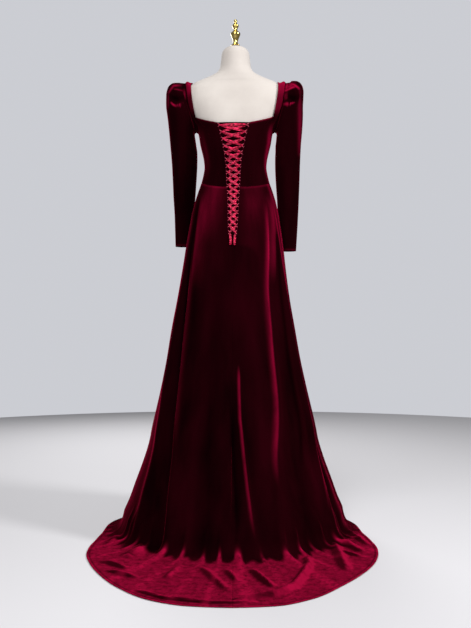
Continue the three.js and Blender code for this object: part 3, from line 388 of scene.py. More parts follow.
def form_skin(turn, height):
    """The form's own cover: a little further in wherever the gown lies over it."""
    p = form_at(turn, height)
    covered = smooth((COVER_BARE_FROM - p[..., 2]) / 12)
    inward = covered * (FORM_SLACK + SHOULDER_SLACK * past(p, UNDER_STRAPS))
    return p - form_normal(turn, height) * inward[..., None]


def bodice_at(turn, height):
    return form_at(turn, height) + form_normal(turn, height) * CLOTH_OVER_FORM


def waist_at(turn):
    return WAIST_AT_SIDE - WAIST_DROP * np.abs(np.cos(np.radians(turn))) ** 1.5


def near_track(way, turn, height, half, right, left):
    """1 along a track, falling off over its half widths on the wearer's right and left."""
    aside = np.radians(wrapped(turn - way.read("turn", height))) * half
    return bell(aside / np.where(aside > 0, left, right))


def folds_at(turn, height):
    """All the long folds together, as a distance out from the plain skirt."""
    half = SKIRT.read("half", height)
    out = np.zeros_like(half)
    for reach, right, left, way in SKIRT_FOLDS:
        start = way.span()[1]
        grown = smooth(1.6 * (start - height) / start)
        out = out + reach * grown * near_track(way, turn, height, half, right, left)
    return out


def ripple_at(turn, strength):
    inside = (wrapped(turn) - RIPPLE["from"]) / (RIPPLE["to"] - RIPPLE["from"])
    fade = smooth(inside * 8) * smooth((1 - inside) * 8)
    uneven = 0.9 * np.sin(inside * 23) + 0.6 * np.sin(inside * 57 + 1)
    wave = np.cos(inside * RIPPLE["count"] * 2 * np.pi + uneven)
    crest = 2.4 * ((1 + wave) / 2) ** 4 - 0.5
    return RIPPLE["out"] * strength * fade * crest * (0.7 + 0.3 * np.sin(inside * 37 + 2))


def skirt_depth(turn, height):
    back, front = SKIRT.read("back", height), SKIRT.read("front", height)
    return np.where(np.cos(np.radians(turn)) > 0, back, front)


def skirt_at(turn, height):
    """The hanging part of the skirt with its folds."""
    turn, height = matched(turn, height)
    s, c = np.sin(np.radians(turn)), np.cos(np.radians(turn))
    half, deep = SKIRT.read("half", height), skirt_depth(turn, height)
    sway = SKIRT_SWAY * smooth((WAIST_AT_SIDE - height) / SWAY_RUN)
    plain = np.stack([s * half + sway, c * deep, height], -1)
    out = folds_at(turn, height) + ripple_at(turn, smooth(1 - height / RIPPLE["height"]))
    plain = plain + unit(np.stack([s * deep, c * half, 0 * s], -1)) * out[..., None]
    below = smooth((waist_at(turn) - height) / HIP_BLEND)[..., None]
    return mix(bodice_at(turn, height), plain, below)


def near_line(x, y, places):
    """The distance to a line through a few places, and how far along it, 0 to 1."""
    places = np.array(places, float)
    passed = np.concatenate(([0], np.cumsum(np.linalg.norm(np.diff(places, axis=0), axis=1))))
    nearest, along = np.full_like(x, 1e9), np.zeros_like(x)
    for start, end, before, after in zip(places, places[1:], passed, passed[1:]):
        (run_x, run_y), long = end - start, after - before
        t = np.clip(((x - start[0]) * run_x + (y - start[1]) * run_y) / long**2, 0, 1)
        away = np.hypot(x - start[0] - t * run_x, y - start[1] - t * run_y)
        along = np.where(away < nearest, before + t * long, along)
        nearest = np.minimum(nearest, away)
    return nearest, along / passed[-1]


def ridges_at(x, y):
    """How high the train's ridges lift the cloth off the floor."""
    high = np.zeros_like(x)
    for tall, wide, places in TRAIN_RIDGES:
        nearest, share = near_line(x, y, places)
        lift = tall * bell(nearest / wide) * (0.35 + 0.65 * np.sin(np.pi * share) ** 0.7)
        high = np.maximum(high, lift)
    return high


def train_at(turn, run):
    """The part of the skirt that lies on the floor, from 0 at the floor curve to 1 at the hem."""
    start = skirt_at(turn, FLOOR_CURVE + 0 * run)
    s, c = np.sin(np.radians(turn)), np.cos(np.radians(turn))
    half, deep = SKIRT.read("half", FLOOR_CURVE), skirt_depth(turn, FLOOR_CURVE)
    away = unit(np.stack([s * half, c * deep, 0 * s], -1))
    start_out = dot(start, away)[..., 0]
    bearing = np.abs(np.degrees(np.arctan2(away[..., 0], away[..., 1])))
    left, right = HEM.read("left", bearing), HEM.read("right", bearing)
    hem = np.where(wrapped(turn) >= 0, left, right)
    out = mix(start_out, hem, 0.35 * run + 0.65 * run**2)
    aside = start * (1, 1, 0) - away * start_out[..., None]
    fall = np.exp(-(out - start_out) / 21)
    reach = RIPPLE["run"] * (0.75 + 0.35 * np.sin(turn * 0.47 + 1) + 0.2 * np.sin(turn * 1.31))
    dragged = ripple_at(turn, 1.2 * bell((out - start_out) / reach) * (1 - fall))
    p = away * out[..., None] + aside * (1 - run)[..., None]
    settled = smooth((out - start_out) / 60) * smooth((hem - out) / 55)
    lifted = settled * (ridges_at(p[..., 0], p[..., 1]) + np.maximum(0, dragged))
    inside = hem - out
    roll = 1.6 * bell((inside - HEM_ROLL / 2) / 4) - 0.7 * bell((inside - HEM_ROLL - 2) / 2)
    p[..., 2] = FLAT + (FLOOR_CURVE - FLAT) * fall * (1 - run) + lifted + roll
    return p


def skirt_surface(turn, run):
    """The whole skirt: 0 to 1 from the waist seam to the floor curve, 1 to 2 out to the hem."""
    turn, run = matched(turn, run)
    top = waist_at(turn) - SEAM_GAP / 2
    hanging = skirt_at(turn, mix(top, FLOOR_CURVE, np.clip(run, 0, 1)))
    lying = train_at(turn, np.clip(run - 1, 0, 1))
    return np.where((run <= 1)[..., None], hanging, lying)


def painted_streaks_at(streaks, turn, height, half):
    """The painted light along a list of streaks: highlight where the strength is above 0, shade
    below.
    """
    painted_light_level = np.zeros_like(half)
    for strength, right, left, way in streaks:
        low, high = way.span()
        soft_ends = smooth((height - low) / 150) * smooth((high - height) / 80)
        lit = near_track(way, turn, height, half, right, left)
        painted_light_level = painted_light_level + strength * soft_ends * lit
    return painted_light_level


def skirt_painted_light(turn, run, p):
    """The skirt's painted light: highlights along the folds' crests and at the waist, crimson over
    the train.
    """
    x, y, height = p[..., 0], p[..., 1], p[..., 2]
    streaks = painted_streaks_at(SKIRT_PAINTED_LIGHT_STREAKS, turn, height, SKIRT.read("half", height))
    crest = np.maximum(0, ripple_at(turn, 1)) / RIPPLE["out"]
    # Painted highlight along the waist seam.
    hanging = streaks + 0.2 * bell((waist_at(turn) - height) / 4)
    out = np.hypot(x, y)
    start, hem = skirt_at(turn, FLOOR_CURVE + 0 * run), skirt_surface(turn, 2 + 0 * run)
    reached = out - np.hypot(start[..., 0], start[..., 1])
    inside = np.hypot(hem[..., 0], hem[..., 1]) - out
    jagged = 26 + 22 * (1 - np.clip(crest, 0, 1)) + 12 * np.sin(turn * 0.9)
    # How the ridges slope towards the key light: a painted highlight on the side facing it, painted
    # shade on the other.
    slope_x = ridges_at(x + 4, y) - ridges_at(x - 4, y)
    slope_y = ridges_at(x, y + 4) - ridges_at(x, y - 4)
    to_light = np.clip((0.8 * slope_x + 0.6 * slope_y) / 2.6, -1, 1)
    # Painted shade in a groove inside the hem, and a painted highlight on its rolled edge.
    hem_shade_and_highlight = 1 - 0.7 * bell((inside - HEM_ROLL - 2) / 4) + 0.4 * bell((inside - 3) / 4)
    # The flat train is painted crimson as if lit from above, with the ridges' painted highlight and
    # shade.
    lying = smooth((reached - jagged) / 26) * (0.66 + 0.6 * to_light + 0.25 * crest) * hem_shade_and_highlight
    # Painted highlight on the crests of the gathers at the foot of the train.
    foot = 0.45 * crest**3 * bell((reached - 40) / 22) * smooth(reached / 30)
    return np.where(run <= 1, hanging, np.clip(lying + foot * (1 - lying), 0, 1.3))


def back_turn(x, height):
    """The turn of a place at the back, given by its distance from the lacing's middle."""
    above = FORM.read("half", height) + CLOTH_OVER_FORM
    half = np.where(height > WAIST_AT_SIDE, above, SKIRT.read("half", height))
    return np.degrees(np.arcsin(np.clip((x + LACE_CENTRE) / half, -1, 1)))


def back_cloth(turn, height):
    above = (height > waist_at(turn))[..., None]
    return np.where(above, bodice_at(turn, height), skirt_at(turn, height))


def laid(x, height, over):
    """A point over the cloth at the back opening, and the cloth's normal there."""
    x, height = matched(x, height)
    turn = back_turn(x, height)
    normal = normal_of(back_cloth, turn, height, 0.5, 1.5)
    return back_cloth(turn, height) + normal * np.asarray(over, float)[..., None], normal


def opening_at(height):
    return LACE.read("reach", height) + EDGE_BEYOND_LACE


def turn_of(x, height, side, behind):
    half = FORM.read("half", height) + CLOTH_OVER_FORM
    turn = np.degrees(np.arcsin(np.clip(x / half, 0, 1) ** (1 / FORM.read("round", height))))
    return side * (turn if behind else 180 - turn)


def seam_place(rows, t, side, behind, aside=0.0, shift=0.0):
    """A place on a seam, t from 0 at its foot to 1 at its top, moved aside by part of a gap."""
    low, high = rows.span()
    height = mix(low, high, t)
    turn = turn_of(rows.read("x", height) + side * shift, height, side, behind)
    half = FORM.read("half", height)
    return turn + np.degrees(side * (aside if behind else -aside) / half), height


def closer_at_ends(t, share):
    """Crowds the places 0 to 1 towards both ends, for a finer mesh along the seams."""
    return mix(t, 0.5 - 0.5 * np.cos(np.pi * t), share)


def add_object(name, data):
    made = bpy.data.objects.new(name, data)
    bpy.context.scene.collection.objects.link(made)
    return made


def mesh_object(name, bm):
    mesh = bpy.data.meshes.new(name)
    bm.to_mesh(mesh)
    bm.free()
    mesh.shade_smooth()
    return add_object(name, mesh)


def cloth_mesh(name, surface, cols, rows, outward, rolled=False):
    """A sheet of cloth: a grid whose corners are placed by a surface of two values, 0 to 1.

    The surface gives points, or points and the painted light at each of them, below 0 for shade.
    """
    bm = bmesh.new()
    bm.loops.layers.uv.new("cloth")
    bmesh.ops.create_grid(bm, x_segments=cols, y_segments=rows, size=0.5, calc_uvs=True)
    flat = np.array([v.co[:2] for v in bm.verts]) + 0.5
    placed = surface(flat[:, 0], flat[:, 1])
    points, painted_light_level = placed if isinstance(placed, tuple) else (placed, 0 * flat[:, 0])
    painted_light = bm.verts.layers.float.new("painted_light")
    # Each vertex keeps its painted light in an attribute that the velvet reads.
    for vertex, point, lift in zip(bm.verts, points * MM, painted_light_level):
        vertex.co = point
        vertex[painted_light] = lift
    if rolled:
        bmesh.ops.remove_doubles(bm, verts=bm.verts, dist=1e-6)
    bm.normal_update()
    bm.faces.ensure_lookup_table()
    some = (bm.faces[k] for k in range(0, len(bm.faces), 7))
    lean = sum(outward(f.calc_center_median()).dot(f.normal) * f.calc_area() for f in some)
    if lean < 0:
        bmesh.ops.reverse_faces(bm, faces=bm.faces)
    return mesh_object(name, bm)


def close_ends(piece):
    """Fills the open ends of a rolled sheet."""
    bm = bmesh.new()
    bm.from_mesh(piece.data)
    bmesh.ops.holes_fill(bm, edges=[e for e in bm.edges if e.is_boundary], sides=0)
    bmesh.ops.recalc_face_normals(bm, faces=bm.faces)
    bm.to_mesh(piece.data)
    bm.free()
    piece.data.shade_smooth()


def give_thickness(piece, thick=CLOTH):
    solidify = piece.modifiers.new("thickness", "SOLIDIFY")
    solidify.thickness = thick * MM
    solidify.offset = -1
    solidify.use_even_offset = False


def dress_piece(piece, material, *nodes):
    piece.data.materials.append(material)
    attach(piece, "root")
    if nodes:
        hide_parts(*nodes)
    return piece


def from_pole(point):
    """Outwards from the pole, and up where the cloth lies on the floor."""
    return Vector((point.x, point.y, 0.4 if point.z < 0.05 else 0.0)).normalized()


def sewn_piece(name, surface, cells, node, outward=from_pole, rolled=False):
    """A piece of velvet of the usual thickness that replaces a solid."""
    piece = cloth_mesh(name, surface, *cells, outward, rolled)
    give_thickness(piece)
    return dress_piece(piece, velvet, node)


class Finish:
    """A material and short ways to add nodes to it."""

    def __init__(self, name, **sockets):
        self.material = bpy.data.materials.new(name)
        self.material.use_nodes = True
        self.nodes = self.material.node_tree.nodes
        self.links = self.material.node_tree.links
        self.shader = self.nodes["Principled BSDF"]
        for socket, value in sockets.items():
            self.shader.inputs[socket.replace("_", " ")].default_value = value

    def node(self, kind, settings=None, **inputs):
        made = self.nodes.new(kind)
        for key, value in (settings or {}).items():
            setattr(made, key, value)
        for key, value in inputs.items():
            self.feed(made.inputs[key.replace("_", " ")], value)
        return made

    def feed(self, socket, value):
        if isinstance(value, bpy.types.NodeSocket):
            self.links.new(value, socket)
        else:
            socket.default_value = value

    def set(self, socket, value):
        self.feed(self.shader.inputs[socket], value)

    def place(self, scale=(1, 1, 1), source="Object"):
        where = self.node("ShaderNodeTexCoord").outputs[source]
        return self.node("ShaderNodeMapping", Vector=where, Scale=scale).outputs[0]

    def noise(self, vector, scale, detail=2.0, roughness=0.5):
        made = self.node("ShaderNodeTexNoise", Vector=vector, Scale=scale, Detail=detail,
                         Roughness=roughness)
        return made.outputs["Fac"]

    def ribs(self, direction, scale, distortion=0.0):
        made = self.node("ShaderNodeTexWave", {"bands_direction": direction}, Scale=scale,
                         Distortion=distortion, Vector=self.place())
        return made.outputs["Color"]

    def ramp(self, value, *stops):
        made = self.node("ShaderNodeValToRGB", Fac=value)
        steps = made.color_ramp.elements
        while len(steps) < len(stops):
            steps.new(0.5)
        for step, (place, colour) in zip(steps, stops):
            step.position = place
            step.color = (*colour, 1) if isinstance(colour, tuple) else (colour,) * 3 + (1,)
        return made.outputs["Color"]

    def blend(self, share, a, b, kind="MIX"):
        made = self.node("ShaderNodeMix", {"data_type": "RGBA", "blend_type": kind})
        self.feed(made.inputs[0], share)
        self.feed(made.inputs[6], a)
        self.feed(made.inputs[7], b)
        return made.outputs[2]

    def maths(self, kind, a, b):
        made = self.node("ShaderNodeMath", {"operation": kind})
        self.feed(made.inputs[0], a)
        self.feed(made.inputs[1], b)
        return made.outputs[0]

    def bump(self, height, distance, strength=1.0, before=None):
        made = self.node("ShaderNodeBump", Height=height, Distance=distance, Strength=strength)
        if before is not None:
            self.links.new(before, made.inputs["Normal"])
        return made.outputs[0]


def velvet_finish():
    """Silky pile: near black, painted crimson where the painted light is high and darker where it
    is below 0.
    """
    cloth = Finish("velvet", Roughness=0.7, Specular_IOR_Level=0.0, Sheen_Weight=0.26,
                   Sheen_Roughness=0.3, Sheen_Tint=(1.0, 0.02, 0.11, 1))
    cloud = cloth.noise(cloth.place(scale=(1, 1, 0.14)), 9, detail=3, roughness=0.5)
    streaky = cloth.noise(cloth.place(scale=(1, 1, 0.12)), 30, detail=3, roughness=0.6)
    mottle = cloth.noise(cloth.place(), 48, detail=6, roughness=0.78)
    pile = cloth.noise(cloth.place(), 1900, detail=1)
    facing = cloth.node("ShaderNodeNewGeometry").outputs["Normal"]
    facing_up = cloth.node("ShaderNodeSeparateXYZ", Vector=facing).outputs["Z"]
    lying = cloth.ramp(facing_up, (0.8, 0.0), (0.97, 1.0))
    painted_light_level = cloth.node("ShaderNodeAttribute", {"attribute_name": "painted_light"}).outputs["Fac"]
    uneven = cloth.blend(lying, cloth.ramp(streaky, (0.3, 0.5), (0.62, 1.0)),
                         cloth.ramp(mottle, (0.36, 0.22), (0.58, 1.0)))
    # Painted highlight: the painted light, broken up by streaky and mottled noise.
    lifted = cloth.maths("MULTIPLY", painted_light_level, uneven)
    deep = cloth.ramp(cloud, (0.35, (0.0045, 0.0003, 0.0007)), (0.75, (0.017, 0.0005, 0.0023)))
    tone = cloth.blend(lifted, deep, (0.31, 0.003, 0.033, 1))
    # Painted shade: darker where the painted light is below 0.
    shade = cloth.ramp(cloth.maths("ADD", painted_light_level, 1.0), (0.1, 0.16), (1.0, 1.0))
    cloth.set("Base Color", cloth.blend(1.0, tone, shade, kind="MULTIPLY"))
    soft = cloth.bump(cloud, 0.004, 0.4)
    crushed = cloth.bump(mottle, 0.0035, lying, before=soft)
    cloth.set("Normal", cloth.bump(pile, 0.00025, 0.5, before=crushed))
    return cloth.material


def satin_finish():
    """Glossy ribbon with painted highlights and painted shade, set by the noise that also bumps its
    folds.
    """
    ribbon = Finish("ribbon_satin", Roughness=0.26, Anisotropic=0.5,
                    Specular_Tint=(1.0, 0.22, 0.36, 1))
    threads = ribbon.noise(ribbon.place(scale=(1, 60, 1), source="UV"), 30, detail=2)
    folds = ribbon.noise(ribbon.place(scale=(1, 1, 2.2)), 95, detail=3, roughness=0.6)
    weave = ribbon.ramp(threads, (0.3, (0.22, 0.002, 0.014)), (0.7, (0.40, 0.005, 0.032)))
    # Painted highlights and painted shade from the fold noise.
    lights = ribbon.ramp(folds, (0.5, 0.0), (0.66, 1.0))
    painted_shades = ribbon.ramp(folds, (0.34, (0.09, 0.001, 0.008)), (0.54, (1.0, 1.0, 1.0)))
    mixed = ribbon.blend(lights, weave, (0.84, 0.02, 0.095, 1))
    ribbon.set("Base Color", ribbon.blend(1.0, mixed, painted_shades, kind="MULTIPLY"))
    folded = ribbon.bump(folds, 0.003, 0.7)
    ribbon.set("Normal", ribbon.bump(threads, 0.0003, 0.4, before=folded))
    return ribbon.material


def loop_finish():
    cord = Finish("loop_cord", Roughness=0.45, Sheen_Weight=0.2, Sheen_Tint=(1.0, 0.1, 0.2, 1))
    twist = cord.noise(cord.place(), 900, detail=2)
    cord.set("Base Color", cord.ramp(twist, (0.35, (0.50, 0.02, 0.06)), (0.7, (0.80, 0.12, 0.19))))
    cord.set("Normal", cord.bump(twist, 0.0004, 0.6))
    return cord.material


def tape_finish():
    """The dark woven tape that the loops are sewn to."""
    tape = Finish("loop_tape", Roughness=0.9, Specular_IOR_Level=0.0)
    ribs = tape.ribs("Z", 400.0)
    tint = tape.ramp(ribs, (0.2, (0.016, 0.001, 0.003)), (0.8, (0.05, 0.002, 0.008)))
    tape.set("Base Color", tint)
    tape.set("Normal", tape.bump(ribs, 0.0003, 0.5))
    return tape.material


def jersey_finish():
    """The form's off-white jersey cover, finely knitted and slightly worn."""
    cover = Finish("form_jersey", Roughness=0.85, Sheen_Weight=0.25, Sheen_Roughness=0.5)
    knit = cover.blend(0.5, cover.ribs("X", 260.0, 0.6), cover.ribs("Z", 330.0, 0.6))
    cloud = cover.noise(cover.place(), 9, detail=4)
    tint = cover.ramp(cloud, (0.3, (0.475, 0.43, 0.395)), (0.7, (0.55, 0.505, 0.465)))
    cover.set("Base Color", tint)
    cover.set("Normal", cover.bump(knit, 0.0004, 0.35))
    return cover.material


def gold_finish():
    gold = Finish("finial_gold", Metallic=1.0, Roughness=0.16)
    worn = gold.noise(gold.place(), 60, detail=4)
    gold.set("Base Color", gold.ramp(worn, (0.3, (0.60, 0.42, 0.10)), (0.7, (0.84, 0.64, 0.22))))
    gold.set("Roughness", gold.ramp(worn, (0.3, 0.12), (0.75, 0.28)))
    gold.set("Normal", gold.bump(gold.noise(gold.place(), 220, detail=2), 0.0004, 0.25))
    return gold.material


def stand_finish():
    paint = Finish("stand_paint", Metallic=0.6, Roughness=0.35)
    grain = paint.noise(paint.place(), 420, detail=3)
    paint.set("Base Color", paint.ramp(grain, (0.3, (0.16, 0.16, 0.17)), (0.7, (0.26, 0.26, 0.27))))
    paint.set("Roughness", paint.ramp(grain, (0.3, 0.28), (0.7, 0.45)))
    paint.set("Normal", paint.bump(grain, 0.0003, 0.3))
    return paint.material


velvet = velvet_finish()
satin = satin_finish()
loop_cord = loop_finish()
tape_cloth = tape_finish()
jersey = jersey_finish()
gold = gold_finish()
stand_paint = stand_finish()


def tip_height(k):
    return LACE_TOP - LACE_PITCH * k


def tip_reach(k):
    return float(LACE.read("reach", tip_height(k)))


def lace_stops(first_side):
    """One half of the lace, stop by stop, with its crossings and its turns round the loops.

    Each stop has its distance from the middle, height, level over the cloth, width, the slope
    of the ribbon there, and the angle that it has turned over by.
    """
    over, under, narrow, wide = (RIBBON[k] for k in ("over", "under", "narrow", "wide"))
    turn_level = (over + under) / 2
    turn_out = over - turn_level + 0.1
    stops = []
    side = first_side
    if first_side < 0:
        reach = tip_reach(0)
        for share, width in TOP_STRETCH:
            x, height = mix(reach, -reach, share), LACE_TOP - 1.5 * (1 - share)
            stops.append((x, height, over + 1.7, wide * width, 0, 0))
        stops.append((-reach + 0.2, LACE_TOP - 0.4, over, narrow, 0, 0))
        stops.append((-reach - turn_out, LACE_TOP, turn_level, narrow, 0, -math.pi / 2))
    for k in range(LACE_TURNS):
        level, flip = (over, 0.0) if side > 0 else (under, math.pi)
        from_x, to_x = side * tip_reach(k), -side * tip_reach(k + 1)
        slope = LACE_PITCH / (to_x - from_x)
        stops.append((from_x - side * 0.2, tip_height(k), level, narrow, slope * 0.3, flip))
        for share, width in CROSSING:
            x, height = mix(from_x, to_x, share), tip_height(k + share)
            stops.append((x, height, level, wide * width, slope, flip))
        side = -side
        stops.append((to_x - side * 0.2, tip_height(k + 1), level, narrow, slope * 0.3, flip))
        turn_x = side * (tip_reach(k + 1) + turn_out)
        stops.append((turn_x, tip_height(k + 1), turn_level, narrow, 0, side * math.pi / 2))
    end = tip_height(LACE_TURNS)
    tail, flip = (LEFT_TAIL, 0) if side > 0 else (RIGHT_TAIL, math.pi)
    back = side * (tip_reach(LACE_TURNS) - 0.2)
    stops.append((back, end, over if side > 0 else under, narrow, -0.3 * side, flip))
    stops += [(x, end - down, level, width, slope, flip) for x, down, level, width, slope in tail]
    return np.array(stops, float).T


def ribbon_piece(name, stops):
    """A flat band through its stops: a grid rolled round them, with both ends closed."""
    x, height, level, width, slope, roll = stops
    last = len(x) - 1
    middle, normal = laid(x, height, level)
    foot = laid(x, height, 0 * x)[0]
    up = laid(x, height + 1, 0 * x)[0] - foot
    beside = laid(x + 1, height, 0 * x)[0] - foot
    across = unit(up + beside * slope[:, None]) * width[:, None] / 2
    through = normal * np.cos(roll)[:, None] + unit(beside) * np.sin(roll)[:, None]
    through = through * RIBBON["thick"] / 2

    def around(u, v):
        k = np.clip(np.round(v * last).astype(int), 0, last)
        angle = u * 2 * np.pi
        a = signed_power(np.cos(angle), 0.6)[:, None]
        b = signed_power(np.sin(angle), 0.6)[:, None]
        return middle[k] + across[k] * a + through[k] * b

    piece = cloth_mesh(name, around, 12, last, lambda p: Vector((0, 1, 0)), rolled=True)
    close_ends(piece)
    return dress_piece(piece, satin), middle


def make_lace():
    for word, first_side in (("first", 1), ("second", -1)):
        name = f"lace_{word}"
        piece, path = ribbon_piece(name, lace_stops(first_side))
        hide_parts(f"lace_{word}_half")
        path = path * MM


def make_modesty_panel():
    low, high = OPENING_END - MODESTY["below"], NECK_AT_BACK - 1

    def panel(u, v):
        height = mix(low, high, v)
        half = opening_at(height) + mix(MODESTY["past_low"], MODESTY["past_high"], v)
        return laid(mix(-half, half, u), height, -MODESTY["under"] + 0 * u)[0]

    piece = cloth_mesh("modesty_cloth", panel, 30, 120, from_pole)
    give_thickness(piece, MODESTY["thick"])
    dress_piece(piece, velvet, "modesty_panel")


def make_bodice():
    for word, side in SIDES:

        def centre_back(u, v):
            v = closer_at_ends(v, 0.6)
            turn_b, height_b = seam_place(BACK_PRINCESS, v, side, True, -SEAM_GAP / 2, NECK_SHIFT)
            height_a = mix(waist_at(0), NECK_AT_BACK, v)
            turn_a = back_turn(side * opening_at(height_a), height_a)
            across = closer_at_ends(u, 0.7)
            turn = mix(turn_a, turn_b, across)
            height = mix(height_a, height_b, across**1.15)
            return pinched(turn, height, across, v, *BACK_SIZE)

        for name, surface in (
            ("back", centre_back),
            ("side_back", lambda u, v: strap_panel(u, v, side, True)),
            ("side_front", lambda u, v: strap_panel(u, v, side, False)),
        ):
            node = f"bodice_{name}_{word}"
            piece = sewn_piece(f"bodice_{name}_cloth_{word}", surface, (36, 90), node)

    def front(u, v):
        v = closer_at_ends(v, 0.6)
        side = np.where(u < 0.5, 1, -1)
        turn_e, height_e = seam_place(FRONT_PRINCESS, v, 1, False, -SEAM_GAP / 2)
        across = closer_at_ends(u, 0.5)
        inward = 1 - np.abs(across - 0.5) * 2
        turn = side * mix(turn_e, 180, inward)
        height = mix(height_e, mix(waist_at(180), NECK_AT_FRONT, v), smooth(inward))
        return pinched(turn, height, across, v, *FRONT_SIZE)

    piece = sewn_piece("bodice_front_cloth", front, (60, 90), "bodice_front")


def shoulder_lift(p):
    return SHOULDER_RISE["high"] * past(p, SHOULDER_RISE)


# The bodice's painted light: highlights on its streaks, its straps, its top edge and its waist.
def bodice_painted_light(turn, height, up, tall):
    right = wrapped(turn) < 0
    painted_light_level = painted_streaks_at(BODICE_PAINTED_LIGHT_STREAKS, turn, height, FORM.read("half", height))
    # Painted highlight on the straps, brighter on the wearer's right, which faces the key light,
    # and on the shoulders.
    upper = smooth((height - SHOULDER_LIT_FROM) / 60)
    strap = np.where(right, 0.36 + 0.45 * upper, 0.2 + 0.65 * upper)
    strap = strap * smooth((height - STRAP_LIT_FROM) / 40)
    # Painted highlight along the top edge, brighter on the wearer's right, and along the waist
    # seam.
    rolled = bell((1 - up) * tall / 5) * np.where(right, 0.5, 0.25) + 0.45 * bell(up * tall / 2.5)
    return np.maximum(np.maximum(painted_light_level, strap), rolled)


def pinched(turn, height, across, up, wide, tall):
    """Bodice cloth, drawn in a little along its seams and rolled at its top edge, and its painted
    light.
    """
    height = np.where(up <= 0, waist_at(turn) + SEAM_GAP / 2, height)
    seam = bell(across * wide / 2.2) + bell((1 - across) * wide / 2.2)
    waist = bell(up * tall / 3)
    edge = bell((1 - up) * tall / 4)
    dip = 0.9 * seam + 0.9 * waist + 0.5 * edge
    p = bodice_at(turn, height) - form_normal(turn, height) * dip[..., None]
    p[..., 2] += shoulder_lift(p)
    return p, bodice_painted_light(turn, height, up, tall)


def strap_panel(u, v, side, behind):
    """A side panel with its strap: from the waist, past the underarm, to the shoulder seam."""
    if behind:
        princess, edge, armhole = BACK_PRINCESS, BACK_STRAP, BACK_ARMHOLE
    else:
        princess, edge, armhole = FRONT_PRINCESS, FRONT_STRAP, FRONT_ARMHOLE
    shoulder = side * (90 - SIDE_GAP_TURN if behind else 90 + SIDE_GAP_TURN)
    seam_share, under_share = 9 / 15, 7 / 15
    v = closer_at_ends(v, 0.3)
    gap, shift = SEAM_GAP / 2, NECK_SHIFT if behind else 0
    seam_t = np.clip(v / seam_share, 0, 1)
    strap_t = np.clip((v - seam_share) / (1 - seam_share), 0, 1)
    turn_p, height_p = seam_place(princess, seam_t, side, behind, gap, shift)
    turn_s, height_s = seam_place(edge, strap_t, side, behind, gap, shift)
    below = v <= seam_share
    turn_a, height_a = np.where(below, turn_p, turn_s), np.where(below, height_p, height_s)
    arm_t = np.clip((v - under_share) / (1 - under_share), 0, 1)
    turn_h, height_h = seam_place(armhole, 0.5 - 0.5 * np.cos(arm_t * np.pi), side, behind)
    under = v <= under_share
    side_height = mix(WAIST_AT_SIDE, armhole.span()[0], np.clip(v / under_share, 0, 1))
    turn_b = np.where(under, shoulder, turn_h)
    height_b = np.where(under, side_height, height_h)
    across = closer_at_ends(u, 0.6)
    turn = mix(turn_a, turn_b, across)
    height = mix(height_a, height_b, across)
    turn = np.where(v >= 1, shoulder, turn)
    return pinched(turn, height, across, v, *SIDE_SIZE)


def make_skirt():
    # Rows of the mesh: down to the floor curve, along the floor, and closer where the hem rolls.
    hem_from = 1.955
    hanging, lying = np.linspace(0, 1, 150), np.linspace(1, hem_from, 96)
    runs = np.concatenate([hanging, lying[1:], np.linspace(hem_from, 2, 24)[1:]])
    last = len(runs) - 1

    def gore(u, v, edges):
        run = np.interp(v * last, np.arange(last + 1), runs)
        turn = mix(*edges(run), u)
        p = skirt_surface(turn, run)
        return p, skirt_painted_light(turn, run, p)

    def opening_edge(run, side):
        p = skirt_surface(0, run)
        closed = np.degrees(SEWN_GAP / 2 / np.hypot(p[..., 0], p[..., 1]))
        height = p[..., 2]
        open_turn = back_turn(side * opening_at(height), height)
        held = smooth((height - OPENING_END) / 16) * (run <= 1)
        return mix(side * closed, open_turn, held)

    def side_seam(run, side, aside):
        p = skirt_surface(side * 90.0, run)
        return side * 90 + np.degrees(aside / np.hypot(p[..., 0], p[..., 1]))

    for word, side in SIDES:

        def back_edges(run):
            return opening_edge(run, side), side_seam(run, side, -side * SEWN_GAP / 2)

        piece = sewn_piece(f"back_gore_{word}", lambda u, v: gore(u, v, back_edges), (170, last),
                           f"skirt_back_{word}")

    def front_edges(run):
        return side_seam(run, 1, SEWN_GAP / 2), side_seam(run, -1, -SEWN_GAP / 2) + 360

    piece = sewn_piece("front_gore", lambda u, v: gore(u, v, front_edges), (130, last),
                       "skirt_front")


def armhole_ring(angle):
    """The sleeve's first ring, just outside the edge of the armhole."""
    up = (np.cos(angle) + 1) / 2
    behind = np.sin(angle) >= 0

    def edge(share):
        share = np.clip(share, 0, 1)
        turn_b, height = seam_place(BACK_ARMHOLE, share, 1, True)
        turn_f, _ = seam_place(FRONT_ARMHOLE, share, 1, False)
        return np.where(behind, turn_b, turn_f), height

    turn, height = edge(up)
    normal = form_normal(turn, height)
    p = bodice_at(turn, height) - normal
    p[..., 2] += shoulder_lift(p)
    aside = unit(np.cross(bodice_at(*edge(up + 0.02)) - bodice_at(*edge(up - 0.02)), normal))
    flip = np.where(dot(aside, np.array((240, 0, 1570)) - p) < 0, -1, 1)
    aside = aside * flip
    aside[..., 1] *= smooth(np.abs(np.sin(angle)) / 0.4)
    return p + unit(aside) * 0.6


